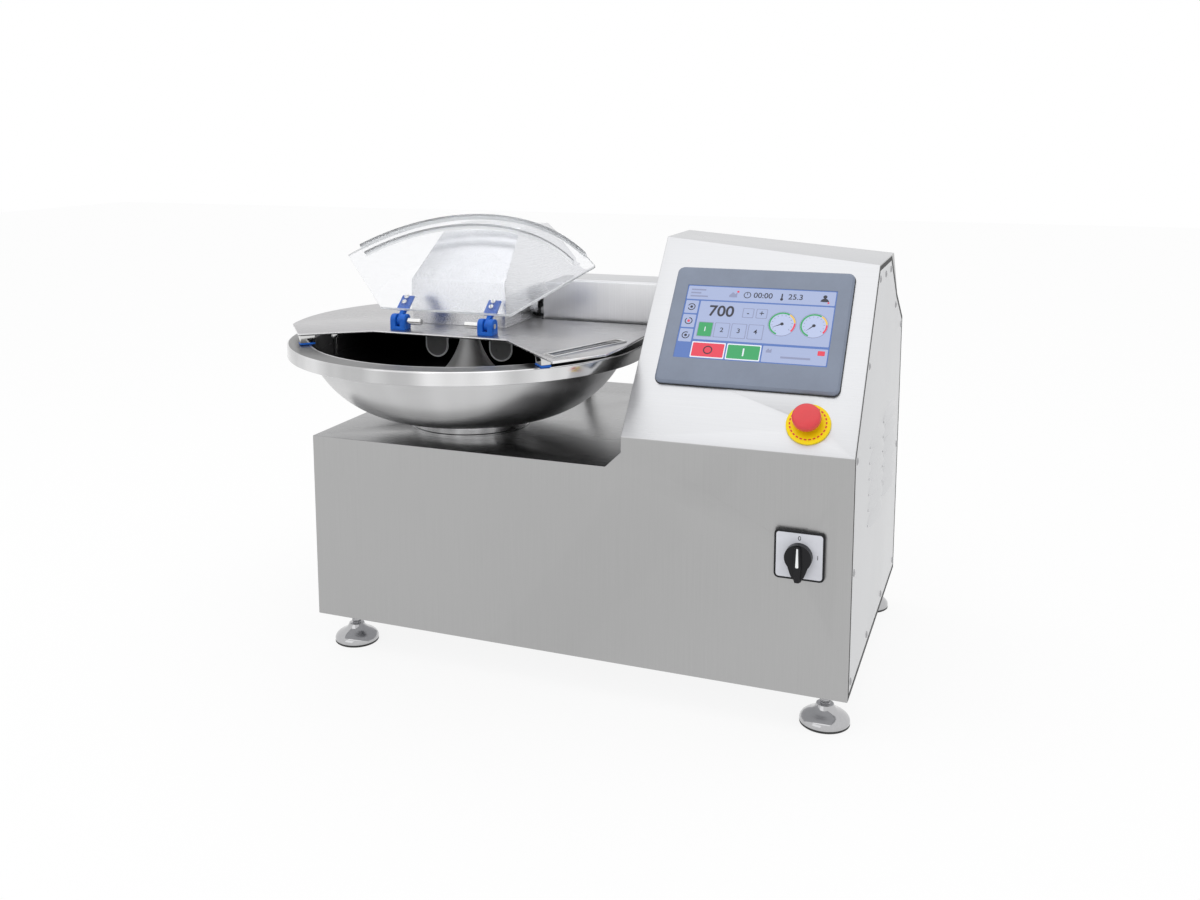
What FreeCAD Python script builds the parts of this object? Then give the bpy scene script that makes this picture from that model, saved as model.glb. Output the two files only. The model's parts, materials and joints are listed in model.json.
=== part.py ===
import FreeCAD, Part
import math
import os
import Sketcher

# Table-top food cutter mixer: a turning bowl, knives on a belt driven shaft, a lifting lid with a
# clear flap, and a console with a touch panel. Sizes are millimetres. The machine frame used below
# counts X from the housing's left side, Y from its front and Z from its underside, and every body
# is then moved so that the origin is the middle of the footprint on the floor.

SIZES = [
    ("body_width", "860"), ("body_depth", "550"), ("deck_height", "302"), ("gauge", "2"),
    ("foot_height", "59"), ("console_left", "526"), ("chamfer_rise", "24"),
    ("fold_height", "349"), ("slant_depth", "231"), ("console_top", "621"), ("top_fall", "31"),
    ("top_back", "355"), ("shoulder_depth", "452"), ("shoulder_drop", "105"),
    ("rear_fold", "462"), ("panel_inset", "8"), ("panel_gap", "0.8"), ("flange_width", "20"),
    ("louvre_length", "146"), ("louvre_pitch", "24"), ("louvre_slot", "6"), ("louvre_rise", "9"),
    ("louvre_low", "204"), ("bowl_across", "202"), ("bowl_back", "170"), ("rim_radius", "298"),
    ("rim_rise", "148"), ("rim_band", "21"), ("rim_gauge", "6"), ("bowl_arc", "171"),
    ("bowl_arc_offset", "103"), ("bowl_arc_rise", "43"), ("shaft_offset", "138"),
    ("shaft_rise", "28"), ("trough_radius", "126"), ("knife_gap", "4"), ("hub_radius", "80"),
    ("boss_radius", "100"), ("boss_height", "16"), ("spindle_radius", "20"),
    ("stud_radius", "10"), ("run_gap", "0.05"),
    ("clear_gap", "0.4"), ("lid_gap", "16"), ("lid_gauge", "4"), ("lid_radius", "297"),
    ("lid_front", "112"), ("opening_half", "118"), ("lid_left", "279"), ("cut_across", "216"),
    ("cut_front", "180"), ("corner_across", "250"),
    ("corner_front", "246"), ("lid_right", "308"), ("arm_left", "93"), ("arm_front", "98"),
    ("arm_back", "178"), ("arm_height", "85"), ("hood_half", "85"), ("hood_top_half", "69"),
    ("hood_front", "21"), ("hood_low", "74"), ("hood_high", "154"), ("hood_ridge", "81"),
    ("hood_crown", "203"), ("hood_back", "292"), ("hood_shift", "10"), ("pin_front", "85"),
    ("pin_rise", "14"), ("pin_radius", "4"), ("flap_edge", "15"), ("flap_half", "116"),
    ("flap_radius", "310"), ("flap_gauge", "6"), ("flap_drop", "13.4"), ("flap_skirt", "18"),
    ("skirt_gauge", "5"), ("inner_skirt", "287"), ("flap_angle", "139"),
    ("hinge_across", "78"), ("hinge_back", "326"), ("hinge_rise", "5"),
    ("shaft_radius", "18"), ("journal_radius", "12"), ("pulley_radius", "50"),
    ("belt_gauge", "8"), ("motor_radius", "85"), ("motor_height", "130"), ("hmi_width", "269"),
    ("hmi_height", "203"), ("hmi_across", "693"), ("hmi_slope", "194"), ("screen_width", "226"),
    ("screen_height", "128"), ("stop_across", "791"), ("stop_slope", "46"), ("ring_radius", "31"),
    ("mushroom_radius", "20"), ("press_travel", "6"), ("switch_across", "789"),
    ("switch_height", "206"), ("switch_plate", "64"), ("knob_radius", "19"), ("foot_radius", "36"),
    ("foot_inset", "42"), ("foot_across", "822"),
]

doc = FreeCAD.newDocument("CutterMixer")
sheet = doc.addObject("Spreadsheet::Sheet", "Sheet")
for row, (alias, text) in enumerate(SIZES, 1):
    sheet.set("A%d" % row, alias)
    sheet.set("B%d" % row, text)
    sheet.setAlias("B%d" % row, alias)
doc.recompute()


class Size:
    """A length that knows its number and the sheet expression that gives it."""

    def __init__(self, value, text):
        self.value = value
        self.text = text

    def join(self, other, sign, value):
        return Size(value, "(%s %s %s)" % (self.text, sign, other.text))

    def __add__(self, other):
        other = size(other)
        return self.join(other, "+", self.value + other.value)

    def __sub__(self, other):
        other = size(other)
        return self.join(other, "-", self.value - other.value)

    def __mul__(self, other):
        other = size(other)
        return self.join(other, "*", self.value * other.value)

    def __truediv__(self, other):
        other = size(other)
        return self.join(other, "/", self.value / other.value)

    def __radd__(self, other):
        return size(other) + self

    def __rsub__(self, other):
        return size(other) - self

    def __rmul__(self, other):
        return size(other) * self

    def __neg__(self):
        return Size(-self.value, "(0 - %s)" % self.text)


def size(number):
    if isinstance(number, Size):
        return number
    return Size(float(number), "(%.6f)" % number)


def root(value):
    return Size(math.sqrt(value.value), "sqrt(%s)" % value.text)


def driven(alias):
    return Size(float(sheet.get(alias)), "Sheet.%s" % alias)


S = {alias: driven(alias) for alias, text in SIZES}

# Levels and centres worked out from the driving sizes.
W, D, T = S["body_width"], S["body_depth"], S["gauge"]
DECK = S["deck_height"]
RIM = DECK + S["rim_rise"]
LID = RIM + S["lid_gap"]
LID_TOP = LID + S["lid_gauge"]
BX, BY = S["bowl_across"], S["bowl_back"]
SHAFT_Y = BY + S["shaft_offset"]
SHAFT_Z = RIM + S["shaft_rise"]
KNIFE_R = S["trough_radius"] - S["knife_gap"]
HOOD_X = BX - S["hood_shift"]
FLAP_X = BX - S["hood_shift"] / 2
PIN_Y = BY - S["pin_front"]
PIN_Z = LID_TOP + S["pin_rise"]
HINGE_Y = BY + S["hinge_back"]
HINGE_Z = LID_TOP + S["hinge_rise"]
CX = S["console_left"]
SLANT_RISE = S["console_top"] - S["fold_height"]
SLANT_TEXT = "atan(%s / %s)" % (SLANT_RISE.text, S["slant_depth"].text)
SLANT_ANGLE = math.degrees(math.atan2(SLANT_RISE.value, S["slant_depth"].value))

# The origin is the middle of the footprint: bowl rim to right side, bowl rim to rear panel.
SHIFT_X = -(BX - S["rim_radius"] + W + S["louvre_rise"]) / 2
SHIFT_Y = -(BY - S["rim_radius"] + D) / 2
SHIFT_Z = S["foot_height"]
NODES = []


def bind(obj, path, value):
    obj.setExpression(path, value.text if isinstance(value, Size) else value)


def place(obj, x=0, y=0, z=0, axis=None, angle=0.0, angle_text=None):
    """Put an object at a point of the machine frame, turned about one axis."""
    turn = FreeCAD.Rotation(axis or FreeCAD.Vector(0, 0, 1), angle)
    point = (size(x) + SHIFT_X, size(y) + SHIFT_Y, size(z) + SHIFT_Z)
    obj.Placement = FreeCAD.Placement(FreeCAD.Vector(*(p.value for p in point)), turn)
    for name, value in zip("xyz", point):
        bind(obj, "Placement.Base.%s" % name, value)
    if angle_text:
        bind(obj, "Placement.Rotation.Angle", angle_text)


def body(label, x=0, y=0, z=0, axis=None, angle=0.0, angle_text=None, node=True):
    made = doc.addObject("PartDesign::Body", label)
    made.Label = label
    if hasattr(made, "AllowCompound"):
        made.AllowCompound = True
    place(made, x, y, z, axis, angle, angle_text)
    if node:
        NODES.append(made)
    return made


X_AXIS = FreeCAD.Vector(1, 0, 0)
Y_AXIS = FreeCAD.Vector(0, 1, 0)


def on_shaft(label, x, y, z, node=True):
    """A body whose local Z runs along the machine's +X, as its shafts do."""
    return body(label, x, y, z, Y_AXIS, 90.0, None, node)


def on_slant(label, node=True):
    """A body on the slanted panel: local Y runs up the slope and Z points out of it."""
    return body(label, 0, 0, S["fold_height"], X_AXIS, SLANT_ANGLE, SLANT_TEXT, node)


def on_front(label, x, z, node=True):
    """A body on the front panel: local Y is up and Z points out of the machine."""
    return body(label, x, 0, z, X_AXIS, 90.0, None, node)


def rect(x0, y0, x1, y1):
    return [(x0, y0), (x1, y0), (x1, y1), (x0, y1)]


def disc(x, y, radius):
    return ("disc", size(x), size(y), size(radius))


def arc_to(x, y, radius, side):
    """A corner reached by an arc: side 1 bows to the right of travel, -1 to the left."""
    return (x, y, radius, side)


def draw(owner, plane, loops, lift=0):
    """Sketch closed loops on one of the body's planes, every corner bound to the sheet."""
    sketch = owner.newObject("Sketcher::SketchObject", owner.Label + "_sketch")
    planes = {f.Role: f for f in owner.Origin.OriginFeatures}
    sketch.AttachmentSupport = [(planes[plane], "")]
    sketch.MapMode = "FlatFace"
    bind(sketch, "AttachmentOffset.Base.z", size(lift))
    for loop in loops:
        if loop[0] == "disc":
            add_disc(sketch, *loop[1:])
        else:
            add_loop(sketch, loop)
    return sketch


def pin_down(sketch, kind, args, value):
    index = sketch.addConstraint(Sketcher.Constraint(kind, *args, value.value))
    bind(sketch, "Constraints[%d]" % index, value)


def add_disc(sketch, x, y, radius):
    circle = Part.Circle(FreeCAD.Vector(x.value, y.value, 0), FreeCAD.Vector(0, 0, 1), radius.value)
    geo = sketch.addGeometry(circle)
    pin_down(sketch, "DistanceX", (-1, 1, geo, 3), x)
    pin_down(sketch, "DistanceY", (-1, 1, geo, 3), y)
    pin_down(sketch, "Radius", (geo,), radius)


def add_loop(sketch, loop):
    corners = [(size(c[0]), size(c[1])) + tuple(c[2:]) for c in loop]
    gap = math.hypot(corners[0][0].value - corners[-1][0].value,
                     corners[0][1].value - corners[-1][1].value)
    if gap < 1e-6:
        corners = [corners[-1]] + corners[1:-1]
    points = [FreeCAD.Vector(c[0].value, c[1].value, 0) for c in corners]
    first = None
    ends = []
    for i, corner in enumerate(corners):
        start, end = points[i - 1], points[i]
        if len(corner) > 2:
            bulge, side = size(corner[2]), corner[3]
            half = (end - start) * 0.5
            drop = math.sqrt(max(bulge.value ** 2 - half.Length ** 2, 0.0))
            normal = FreeCAD.Vector(-half.y, half.x, 0).normalize()
            centre = start + half + normal * (drop * side)
            first_point, last_point = (start, end) if side > 0 else (end, start)
            a0 = math.atan2(first_point.y - centre.y, first_point.x - centre.x)
            a1 = math.atan2(last_point.y - centre.y, last_point.x - centre.x)
            a1 += 2 * math.pi if a1 < a0 else 0.0
            circle = Part.Circle(centre, FreeCAD.Vector(0, 0, 1), bulge.value)
            geo = sketch.addGeometry(Part.ArcOfCircle(circle, a0, a1))
            ends.append((geo, 1, 2) if side > 0 else (geo, 2, 1))
            pin_down(sketch, "Radius", (geo,), bulge)
        else:
            geo = sketch.addGeometry(Part.LineSegment(start, end))
            ends.append((geo, 1, 2))
        first = first or ends[0]
    for i, (geo, start_pos, end_pos) in enumerate(ends):
        after = ends[(i + 1) % len(ends)]
        sketch.addConstraint(Sketcher.Constraint("Coincident", geo, end_pos, after[0], after[1]))
        pin_down(sketch, "DistanceX", (-1, 1, geo, end_pos), corners[i][0])
        pin_down(sketch, "DistanceY", (-1, 1, geo, end_pos), corners[i][1])


def pad(owner, loops, lift, height, plane="XY_Plane", back=False):
    feature = owner.newObject("PartDesign::Pad", owner.Label + "_pad")
    feature.Profile = draw(owner, plane, loops, lift)
    bind(feature, "Length", size(height))
    feature.Reversed = back
    owner.Tip = feature
    return feature


def pocket(owner, loops, lift, depth, plane="XY_Plane", back=False):
    feature = owner.newObject("PartDesign::Pocket", owner.Label + "_pocket")
    feature.Profile = draw(owner, plane, loops, lift)
    bind(feature, "Length", size(depth))
    feature.Reversed = back
    owner.Tip = feature
    return feature


def revolve(owner, loops, groove=False):
    kind = "Groove" if groove else "Revolution"
    feature = owner.newObject("PartDesign::" + kind, owner.Label + "_turn")
    sketch = draw(owner, "XZ_Plane", loops)
    feature.Profile = sketch
    feature.ReferenceAxis = (sketch, ["V_Axis"])
    feature.Angle = 360.0
    owner.Tip = feature
    return feature


def soften(owner, radius, kind, chosen):
    """Fillet or chamfer the edges of the body's last shape that the function chooses."""
    doc.recompute()
    last = owner.Tip
    names = ["Edge%d" % (i + 1) for i, edge in enumerate(last.Shape.Edges) if chosen(edge)]
    feature = owner.newObject("PartDesign::" + kind, owner.Label + "_edge")
    feature.Base = (last, names)
    bind(feature, "Radius" if kind == "Fillet" else "Size", size(radius))
    owner.Tip = feature
    return feature


def level(edge, z):
    """True for an edge that lies at one local height of its body."""
    box = edge.BoundBox
    return abs(box.ZMin - size(z).value) < 0.01 and abs(box.ZMax - size(z).value) < 0.01


def upright(edge):
    box = edge.BoundBox
    return box.XLength < 0.01 and box.YLength < 0.01 and box.ZLength > 0.5


def combine(label, kind, first, second):
    made = doc.addObject("Part::" + kind, label)
    made.Label = label
    made.Base = first
    made.Tool = second
    NODES.append(made)
    return made


# Section: housing sheet metal.

def console_profile(inset, far):
    """The console's side outline, in from the outer faces by inset, as YZ corners."""
    slope = SLANT_RISE / S["slant_depth"]
    step = inset * Size(1.0 / math.cos(math.radians(SLANT_ANGLE)), "(1 / cos(%s))" % SLANT_TEXT)
    top = S["console_top"] - inset
    low = S["fold_height"] + slope * inset - step
    start = (top - S["fold_height"] + step) / slope
    floor = size(-1 if inset.value else 0)
    corners = [
        (inset, floor), (inset, low), (start, top), (S["top_back"] - inset * 0.3, top),
        (S["shoulder_depth"] - inset * 0.8, S["console_top"] - S["shoulder_drop"] - inset * 0.8),
        (D - inset * 0.6, S["rear_fold"] - inset * 0.5),
    ]
    if inset.value:
        corners.append((far, S["rear_fold"] - inset * 0.5))
    return corners + [(far, floor)]


def housing_solid(label, inset, right, far):
    """The housing as one solid: deck and console, with the console's top sloping down right."""
    made = body(label, node=False)
    low = size(-1 if inset.value else 0)
    deck = [(inset, low), (CX + 10, low), (CX + 10, DECK + S["chamfer_rise"] + 10 - inset),
            (CX + inset, DECK + S["chamfer_rise"] + 10 - inset),
            (CX + inset, DECK + S["chamfer_rise"] - inset * 0.41),
            (CX - S["chamfer_rise"] + inset * 0.41, DECK - inset), (inset, DECK - inset)]
    feature = pad(made, [deck], size(0) - far, far - inset, "XZ_Plane")
    pad(made, [console_profile(inset, far)], CX + inset, right - CX - inset, "YZ_Plane")
    fall = S["top_fall"]
    over = [(CX - 5, S["console_top"] - inset), (W + 5, S["console_top"] - inset - fall),
            (W + 5, S["console_top"] + 60), (CX - 5, S["console_top"] + 60)]
    pocket(made, [over], size(0) - D - 20, D + 40, "XZ_Plane", True)
    return made


outer = housing_solid("housing_outer", size(0), W, D)
inner = housing_solid("housing_inner", T, W - 2 * T, D + 5)
housing = combine("housing_blank", "Cut", outer, inner)
NODES.remove(housing)


def side_outline(inset, low):
    """Outline of the right side, in from the edges by inset, as YZ corners."""
    slope = SLANT_RISE / S["slant_depth"]
    step = inset * Size(1.0 / math.cos(math.radians(SLANT_ANGLE)), "(1 / cos(%s))" % SLANT_TEXT)
    top = S["console_top"] - S["top_fall"] - inset
    return [
        (inset, low), (inset, S["fold_height"] + slope * inset - step),
        ((top - S["fold_height"] + step) / slope, top), (S["top_back"] - inset * 0.3, top),
        (S["shoulder_depth"] - inset * 0.8, S["console_top"] - S["shoulder_drop"] - inset * 0.8),
        (D - inset, S["rear_fold"] - inset * 0.5), (D - inset, low),
    ]


openings = body("housing_cuts", node=False)
recess = side_outline(S["panel_inset"], S["panel_inset"])
pad(openings, [recess], W - T, T + 5, "YZ_Plane")
way_in = side_outline(S["panel_inset"] + S["flange_width"], S["panel_inset"] + S["flange_width"])
pad(openings, [way_in], W - 3 * T, 3 * T, "YZ_Plane")
pad(openings, [disc(SHAFT_Y, SHAFT_Z, S["shaft_radius"] + 13)], CX - 5, 12, "YZ_Plane")
pad(openings, [disc(BX, BY, S["spindle_radius"] + 22)], DECK - 5, 10)
shell = combine("housing_open", "Cut", housing, openings)
NODES.remove(shell)

face_cuts = on_slant("slant_cuts", node=False)
HMI_X, HMI_Y = S["hmi_across"], S["hmi_slope"]
HALF_W, HALF_H = S["screen_width"] / 2 + 6, S["screen_height"] / 2 + 6
pad(face_cuts, [rect(HMI_X - HALF_W, HMI_Y - HALF_H, HMI_X + HALF_W, HMI_Y + HALF_H),
                disc(S["stop_across"], S["stop_slope"], 12)], -6, 12)
front_cuts = on_front("front_cuts", S["switch_across"], S["switch_height"], node=False)
pad(front_cuts, [disc(0, 0, 12)], -6, 12)
both = doc.addObject("Part::Fuse", "panel_cuts")
both.Base = face_cuts
both.Tool = front_cuts
combine("housing_shell", "Cut", shell, both)

base_plate = body("base_plate")
pad(base_plate, [rect(T + S["clear_gap"], T + S["clear_gap"], W - 2 * T - S["clear_gap"],
                      D - T - S["clear_gap"])], 0, 3)

rear = body("rear_panel")
rear_top = S["rear_fold"] - T * 0.5
rear_loops = [[(T, 0), (W - 2 * T, 0), (W - 2 * T, rear_top), (CX + T, rear_top),
               (CX + T, DECK + S["chamfer_rise"] - T * 0.41),
               (CX - S["chamfer_rise"] + T * 0.41, DECK - T), (T, DECK - T)]]
for i in range(8):
    z = 60 + 16 * i
    rear_loops.append(rect(W - 260, z, W - 100, z + 7))
pad(rear, rear_loops, size(0) - D, T, "XZ_Plane")

side_panel = body("right_side_panel")
edge = S["panel_inset"] + S["panel_gap"]
pad(side_panel, [side_outline(edge, edge)], W - T, T, "YZ_Plane")
LOUVRE_STARTS = (155, 318)
slots = []
hoods = []
for start in LOUVRE_STARTS:
    for i in range(6):
        z = S["louvre_low"] + S["louvre_pitch"] * i
        slots.append(rect(start, z, start + S["louvre_length"], z + S["louvre_slot"]))
        hoods.append((start, z))
pocket(side_panel, slots, W + 1, T + 2, "YZ_Plane")
for start, z in hoods:
    end = start + S["louvre_length"]
    hood_loop = [(W, z + S["louvre_slot"]), (W + S["louvre_rise"] * 0.6, z - 1),
                 (W + S["louvre_rise"], z - 1), (W + S["louvre_rise"] * 0.75, z + 6),
                 (W, z + S["louvre_slot"] + 9)]
    pad(side_panel, [hood_loop], size(0) - end, S["louvre_length"], "XZ_Plane")

screws = body("side_panel_screws")
screw_line = S["panel_inset"] + 14
corners = side_outline(screw_line, screw_line)
FRACTIONS = [0.5, 0.5, 0.5, 0, 0, 0.5, 0.33]
SCREW_SPOTS = list(corners)
for share, (y0, z0), (y1, z1) in zip(FRACTIONS, corners, corners[1:] + corners[:1]):
    if share:
        SCREW_SPOTS.append((y0 + (y1 - y0) * share, z0 + (z1 - z0) * share))
SCREW_SPOTS.append((corners[6][0] + (corners[0][0] - corners[6][0]) * 0.67, screw_line))
spots = [disc(y, z, 5.5) for y, z in SCREW_SPOTS]
pad(screws, spots, W, 1.6, "YZ_Plane")
pocket(screws, [disc(y, z, 2) for y, z in SCREW_SPOTS], W + 2, 1.2, "YZ_Plane")

# Section: feet.

FOOT_SPOTS = [(S["foot_inset"], S["foot_inset"] + 6), (S["foot_across"], S["foot_inset"] + 6),
              (S["foot_inset"], D - S["foot_inset"] - 6), (S["foot_across"], D - S["foot_inset"] - 6)]
pads = body("foot_pads", 0, 0, -S["foot_height"])
pad(pads, [disc(x, y, S["foot_radius"]) for x, y in FOOT_SPOTS], 0, 6)
domes = body("foot_domes", 0, 0, -S["foot_height"])
pad(domes, [disc(x, y, S["foot_radius"] - 3) for x, y in FOOT_SPOTS], 6, 16)
soften(domes, 11, "Fillet", lambda e: level(e, 22))
studs = body("foot_studs", 0, 0, -S["foot_height"])
pad(studs, [disc(x, y, 8) for x, y in FOOT_SPOTS], 22, S["foot_height"] - 22)
collars = body("foot_nuts", 0, 0, -S["foot_height"])
for x, y in FOOT_SPOTS:
    hexagon = [(x + 14 * math.cos(math.radians(60 * k)), y + 14 * math.sin(math.radians(60 * k)))
               for k in range(6)]
    pad(collars, [hexagon], S["foot_height"] - 9, 9)
pocket(collars, [disc(x, y, 8) for x, y in FOOT_SPOTS], S["foot_height"] + 1, 14)

# Section: bowl and its drive.

bowl = body("bowl", BX, BY, 0)
trough = S["trough_radius"]
reach = root(trough * trough - S["shaft_rise"] * S["shaft_rise"])
lip_in = S["rim_radius"] - S["rim_gauge"]
under = RIM - S["rim_gauge"]
arc_mid = RIM + S["bowl_arc_rise"]
drop = arc_mid - under
wall_r = S["bowl_arc_offset"] + root(S["bowl_arc"] * S["bowl_arc"] - drop * drop)
bottom = arc_mid - S["bowl_arc"]
core = RIM - 25
bore = S["spindle_radius"] + S["run_gap"]
stud = S["stud_radius"] + S["run_gap"]
hub_r = S["hub_radius"]
hub_z = SHAFT_Z - root(trough * trough - (S["shaft_offset"] - hub_r) * (S["shaft_offset"] - hub_r))
revolve(bowl, [[
    (S["shaft_offset"] + reach, RIM), (S["rim_radius"], RIM),
    (S["rim_radius"], RIM - S["rim_band"]), (lip_in, RIM - S["rim_band"]), (lip_in, under),
    (wall_r, under), arc_to(S["bowl_arc_offset"], bottom, S["bowl_arc"], -1),
    (hub_r, bottom), (hub_r, hub_z), arc_to(S["shaft_offset"] + reach, RIM, trough, 1),
]])
hub = body("bowl_hub", BX, BY, 0)
revolve(hub, [[
    (hub_r, hub_z), (hub_r, bottom), (30, core - 25), (bore, core - 25), (bore, core),
    (stud, core), (stud, RIM), (S["shaft_offset"] - reach, RIM), arc_to(hub_r, hub_z, trough, 1),
]])

spindle = body("bowl_spindle", BX, BY, 0)
flange = DECK + S["boss_height"] + 1
revolve(spindle, [[
    (0, DECK - 68), (S["spindle_radius"], DECK - 68), (S["spindle_radius"], flange),
    (60, flange), (60, bottom), (S["spindle_radius"], bottom), (S["spindle_radius"], core),
    (S["stud_radius"], core), (S["stud_radius"], RIM + 7), (0, RIM + 7),
]])
nut = body("bowl_nut", BX, BY, 0)
pad(nut, [[(14 * math.cos(math.radians(60 * k)), 14 * math.sin(math.radians(60 * k)))
           for k in range(6)], disc(0, 0, stud)], RIM, 6)

housing_ring = body("spindle_housing", BX, BY, 0)
ring_bore = S["spindle_radius"] + 15
revolve(housing_ring, [[
    (ring_bore, DECK), (S["boss_radius"], DECK), (S["boss_radius"], DECK + S["boss_height"] - 3),
    (S["boss_radius"] - 3, DECK + S["boss_height"]), (ring_bore, DECK + S["boss_height"]),
]])
ring = body("spindle_bearing", BX, BY, 0)
pad(ring, [disc(0, 0, ring_bore), disc(0, 0, bore)], DECK, S["boss_height"] - 1)

gearbox = body("bowl_gearbox", BX, BY, 0)
pad(gearbox, [rect(-70, -70, 70, 70)], DECK - T - 90, 90)
pocket(gearbox, [disc(0, 0, S["spindle_radius"] + S["clear_gap"])], DECK, 72)
soften(gearbox, 8, "Fillet", upright)
bowl_motor = body("bowl_motor", BX, BY, 0)
pad(bowl_motor, [disc(0, 0, 58)], DECK - T - 90 - 160, 160)

# Section: knives and their drive.

START = BX - 28
BLADE = 4
GAPS = [(0, 12), (16, 10), (30, 10), (44, 12)]
tip = root(KNIFE_R * KNIFE_R - 30 * 30)
SICKLE = [
    (-31, 0), arc_to(0, -31, 31, 1), (22, -22), arc_to(30, size(0) - tip, 110, -1),
    arc_to(KNIFE_R * math.sqrt(0.5), KNIFE_R * -math.sqrt(0.5), KNIFE_R, 1),
    arc_to(24, 24, 96, 1), arc_to(-31, 0, 34, 1),
]


def turned(loop, degrees):
    """A closed loop turned about the sketch's origin."""
    c, s = math.cos(math.radians(degrees)), math.sin(math.radians(degrees))
    return [(size(p[0]) * c - size(p[1]) * s, size(p[0]) * s + size(p[1]) * c) + tuple(p[2:])
            for p in loop]


for i, at in enumerate((12, 26, 40)):
    blade = on_shaft("knife_blade_%d" % (i + 1), START + at, SHAFT_Y, SHAFT_Z)
    pad(blade, [turned(SICKLE, 120 * i), disc(0, 0, S["journal_radius"])], 0, BLADE)
spacers = on_shaft("knife_spacers", START, SHAFT_Y, SHAFT_Z)
for at, wide in GAPS:
    pad(spacers, [disc(0, 0, 30), disc(0, 0, S["journal_radius"])], at, wide)
knife_nut = on_shaft("knife_nut", START, SHAFT_Y, SHAFT_Z)
pad(knife_nut, [[(24 * math.cos(math.radians(60 * k)), 24 * math.sin(math.radians(60 * k)))
                 for k in range(6)], disc(0, 0, S["journal_radius"])], -14, 14)
SHAFT_END = CX + 90
knife_shaft = on_shaft("knife_shaft", 0, SHAFT_Y, SHAFT_Z)
pad(knife_shaft, [disc(0, 0, S["journal_radius"])], START - 18, 18 + 56)
pad(knife_shaft, [disc(0, 0, S["shaft_radius"])], START + 56, SHAFT_END - START - 56)
soften(knife_shaft, 2, "Chamfer", lambda e: level(e, START - 18))

ARM_X = BX + S["arm_left"]
ARM_Z = RIM + 5
arm = body("shaft_arm")
pad(arm, [rect(ARM_X, BY + S["arm_front"], CX, BY + S["arm_back"])], ARM_Z, S["arm_height"])
soften(arm, 5, "Fillet", lambda e: e.BoundBox.XLength > 50 and level(e, ARM_Z + S["arm_height"]))
pocket(arm, [disc(SHAFT_Y, SHAFT_Z, S["shaft_radius"] + 12)], CX + 5, CX - ARM_X + 10, "YZ_Plane")
bearings = on_shaft("shaft_bearings", 0, SHAFT_Y, SHAFT_Z)
for at in (ARM_X + 14, CX - 24):
    pad(bearings, [disc(0, 0, S["shaft_radius"] + 12), disc(0, 0, S["shaft_radius"] + S["run_gap"])],
        at, 14)
seal = on_shaft("shaft_seal", 0, SHAFT_Y, SHAFT_Z)
pad(seal, [disc(0, 0, S["shaft_radius"] + 12), disc(0, 0, S["shaft_radius"] + S["run_gap"])],
    ARM_X + 2, 8)

cover = body("rear_cover")
pad(cover, [[(ARM_X, BY + S["arm_back"]), (BX + S["lid_right"], BY + S["arm_back"]),
             (BX + S["lid_right"], BY + 240), (BX + 240, BY + 302), (ARM_X, BY + 302)]],
    LID, S["lid_gauge"])

PULLEY_X = CX + 42
shaft_pulley = on_shaft("shaft_pulley", PULLEY_X, SHAFT_Y, SHAFT_Z)
motor_pulley = on_shaft("motor_pulley", PULLEY_X, SHAFT_Y, S["motor_height"])
for wheel, hub in ((shaft_pulley, S["shaft_radius"]), (motor_pulley, size(14))):
    pad(wheel, [disc(0, 0, S["pulley_radius"]), disc(0, 0, hub)], 0, 28)
    for at in (-2, 28):
        pad(wheel, [disc(0, 0, S["pulley_radius"] + 5), disc(0, 0, hub)], at, 2)
belt = body("drive_belt")
turn_in = S["pulley_radius"] + S["clear_gap"]
turn_out = turn_in + S["belt_gauge"]
loops = []
for r in (turn_out, turn_in):
    loops.append([(SHAFT_Y + r, S["motor_height"]), (SHAFT_Y + r, SHAFT_Z),
                  arc_to(SHAFT_Y, SHAFT_Z + r, r, 1), arc_to(SHAFT_Y - r, SHAFT_Z, r, 1),
                  (SHAFT_Y - r, S["motor_height"]), arc_to(SHAFT_Y, S["motor_height"] - r, r, 1),
                  arc_to(SHAFT_Y + r, S["motor_height"], r, 1)])
pad(belt, loops, PULLEY_X + 1, 26, "YZ_Plane")

motor_shaft = on_shaft("motor_shaft", 0, SHAFT_Y, S["motor_height"])
pad(motor_shaft, [disc(0, 0, 14)], PULLEY_X - 4, 55)
motor = on_shaft("knife_motor", 0, SHAFT_Y, S["motor_height"])
MOTOR_X = PULLEY_X + 46
pad(motor, [disc(0, 0, S["motor_radius"])], MOTOR_X, W - 2 * T - 40 - MOTOR_X)
pocket(motor, [disc(0, 0, 14 + S["clear_gap"])], MOTOR_X, 10, back=True)
mount = body("motor_mount")
saddle = S["motor_radius"] - 15
MOUNT_END = MOTOR_X + 160
pad(mount, [rect(MOTOR_X + 30, SHAFT_Y - saddle, MOUNT_END, SHAFT_Y + saddle)], 3, 70)
pocket(mount, [disc(SHAFT_Y, S["motor_height"], S["motor_radius"])], MOUNT_END + 5, 140, "YZ_Plane")

# Section: lid, hood and under-lid pieces.

lid = body("lid_plate", BX, BY, 0)
lid_r = S["lid_radius"]
left_front = root(lid_r * lid_r - S["lid_left"] * S["lid_left"])
tail = S["hinge_back"] - 12
tail_x = 112
tail_in = S["hinge_back"] - 30
tail_y = root(lid_r * lid_r - tail_x * tail_x)
edge_x = S["arm_left"] - 3
pad(lid, [[
    (-S["cut_across"], -S["cut_front"]), (-S["opening_half"], -S["lid_front"]),
    (S["opening_half"], -S["lid_front"]), (S["corner_across"], -S["corner_front"]),
    (302, -168), (S["lid_right"], -97), (S["lid_right"], S["arm_front"] - 11),
    (edge_x, S["arm_front"] - 11), (edge_x, tail_in), (78, tail_in), (78, tail),
    (-tail_x, tail), (-tail_x, tail_y),
    arc_to(-S["lid_left"], -left_front, lid_r, 1),
]], LID, S["lid_gauge"])
slot_r = S["shaft_radius"] + 4
hood_left, hood_right = -S["hood_half"] - S["hood_shift"], S["hood_half"] - S["hood_shift"]
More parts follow.
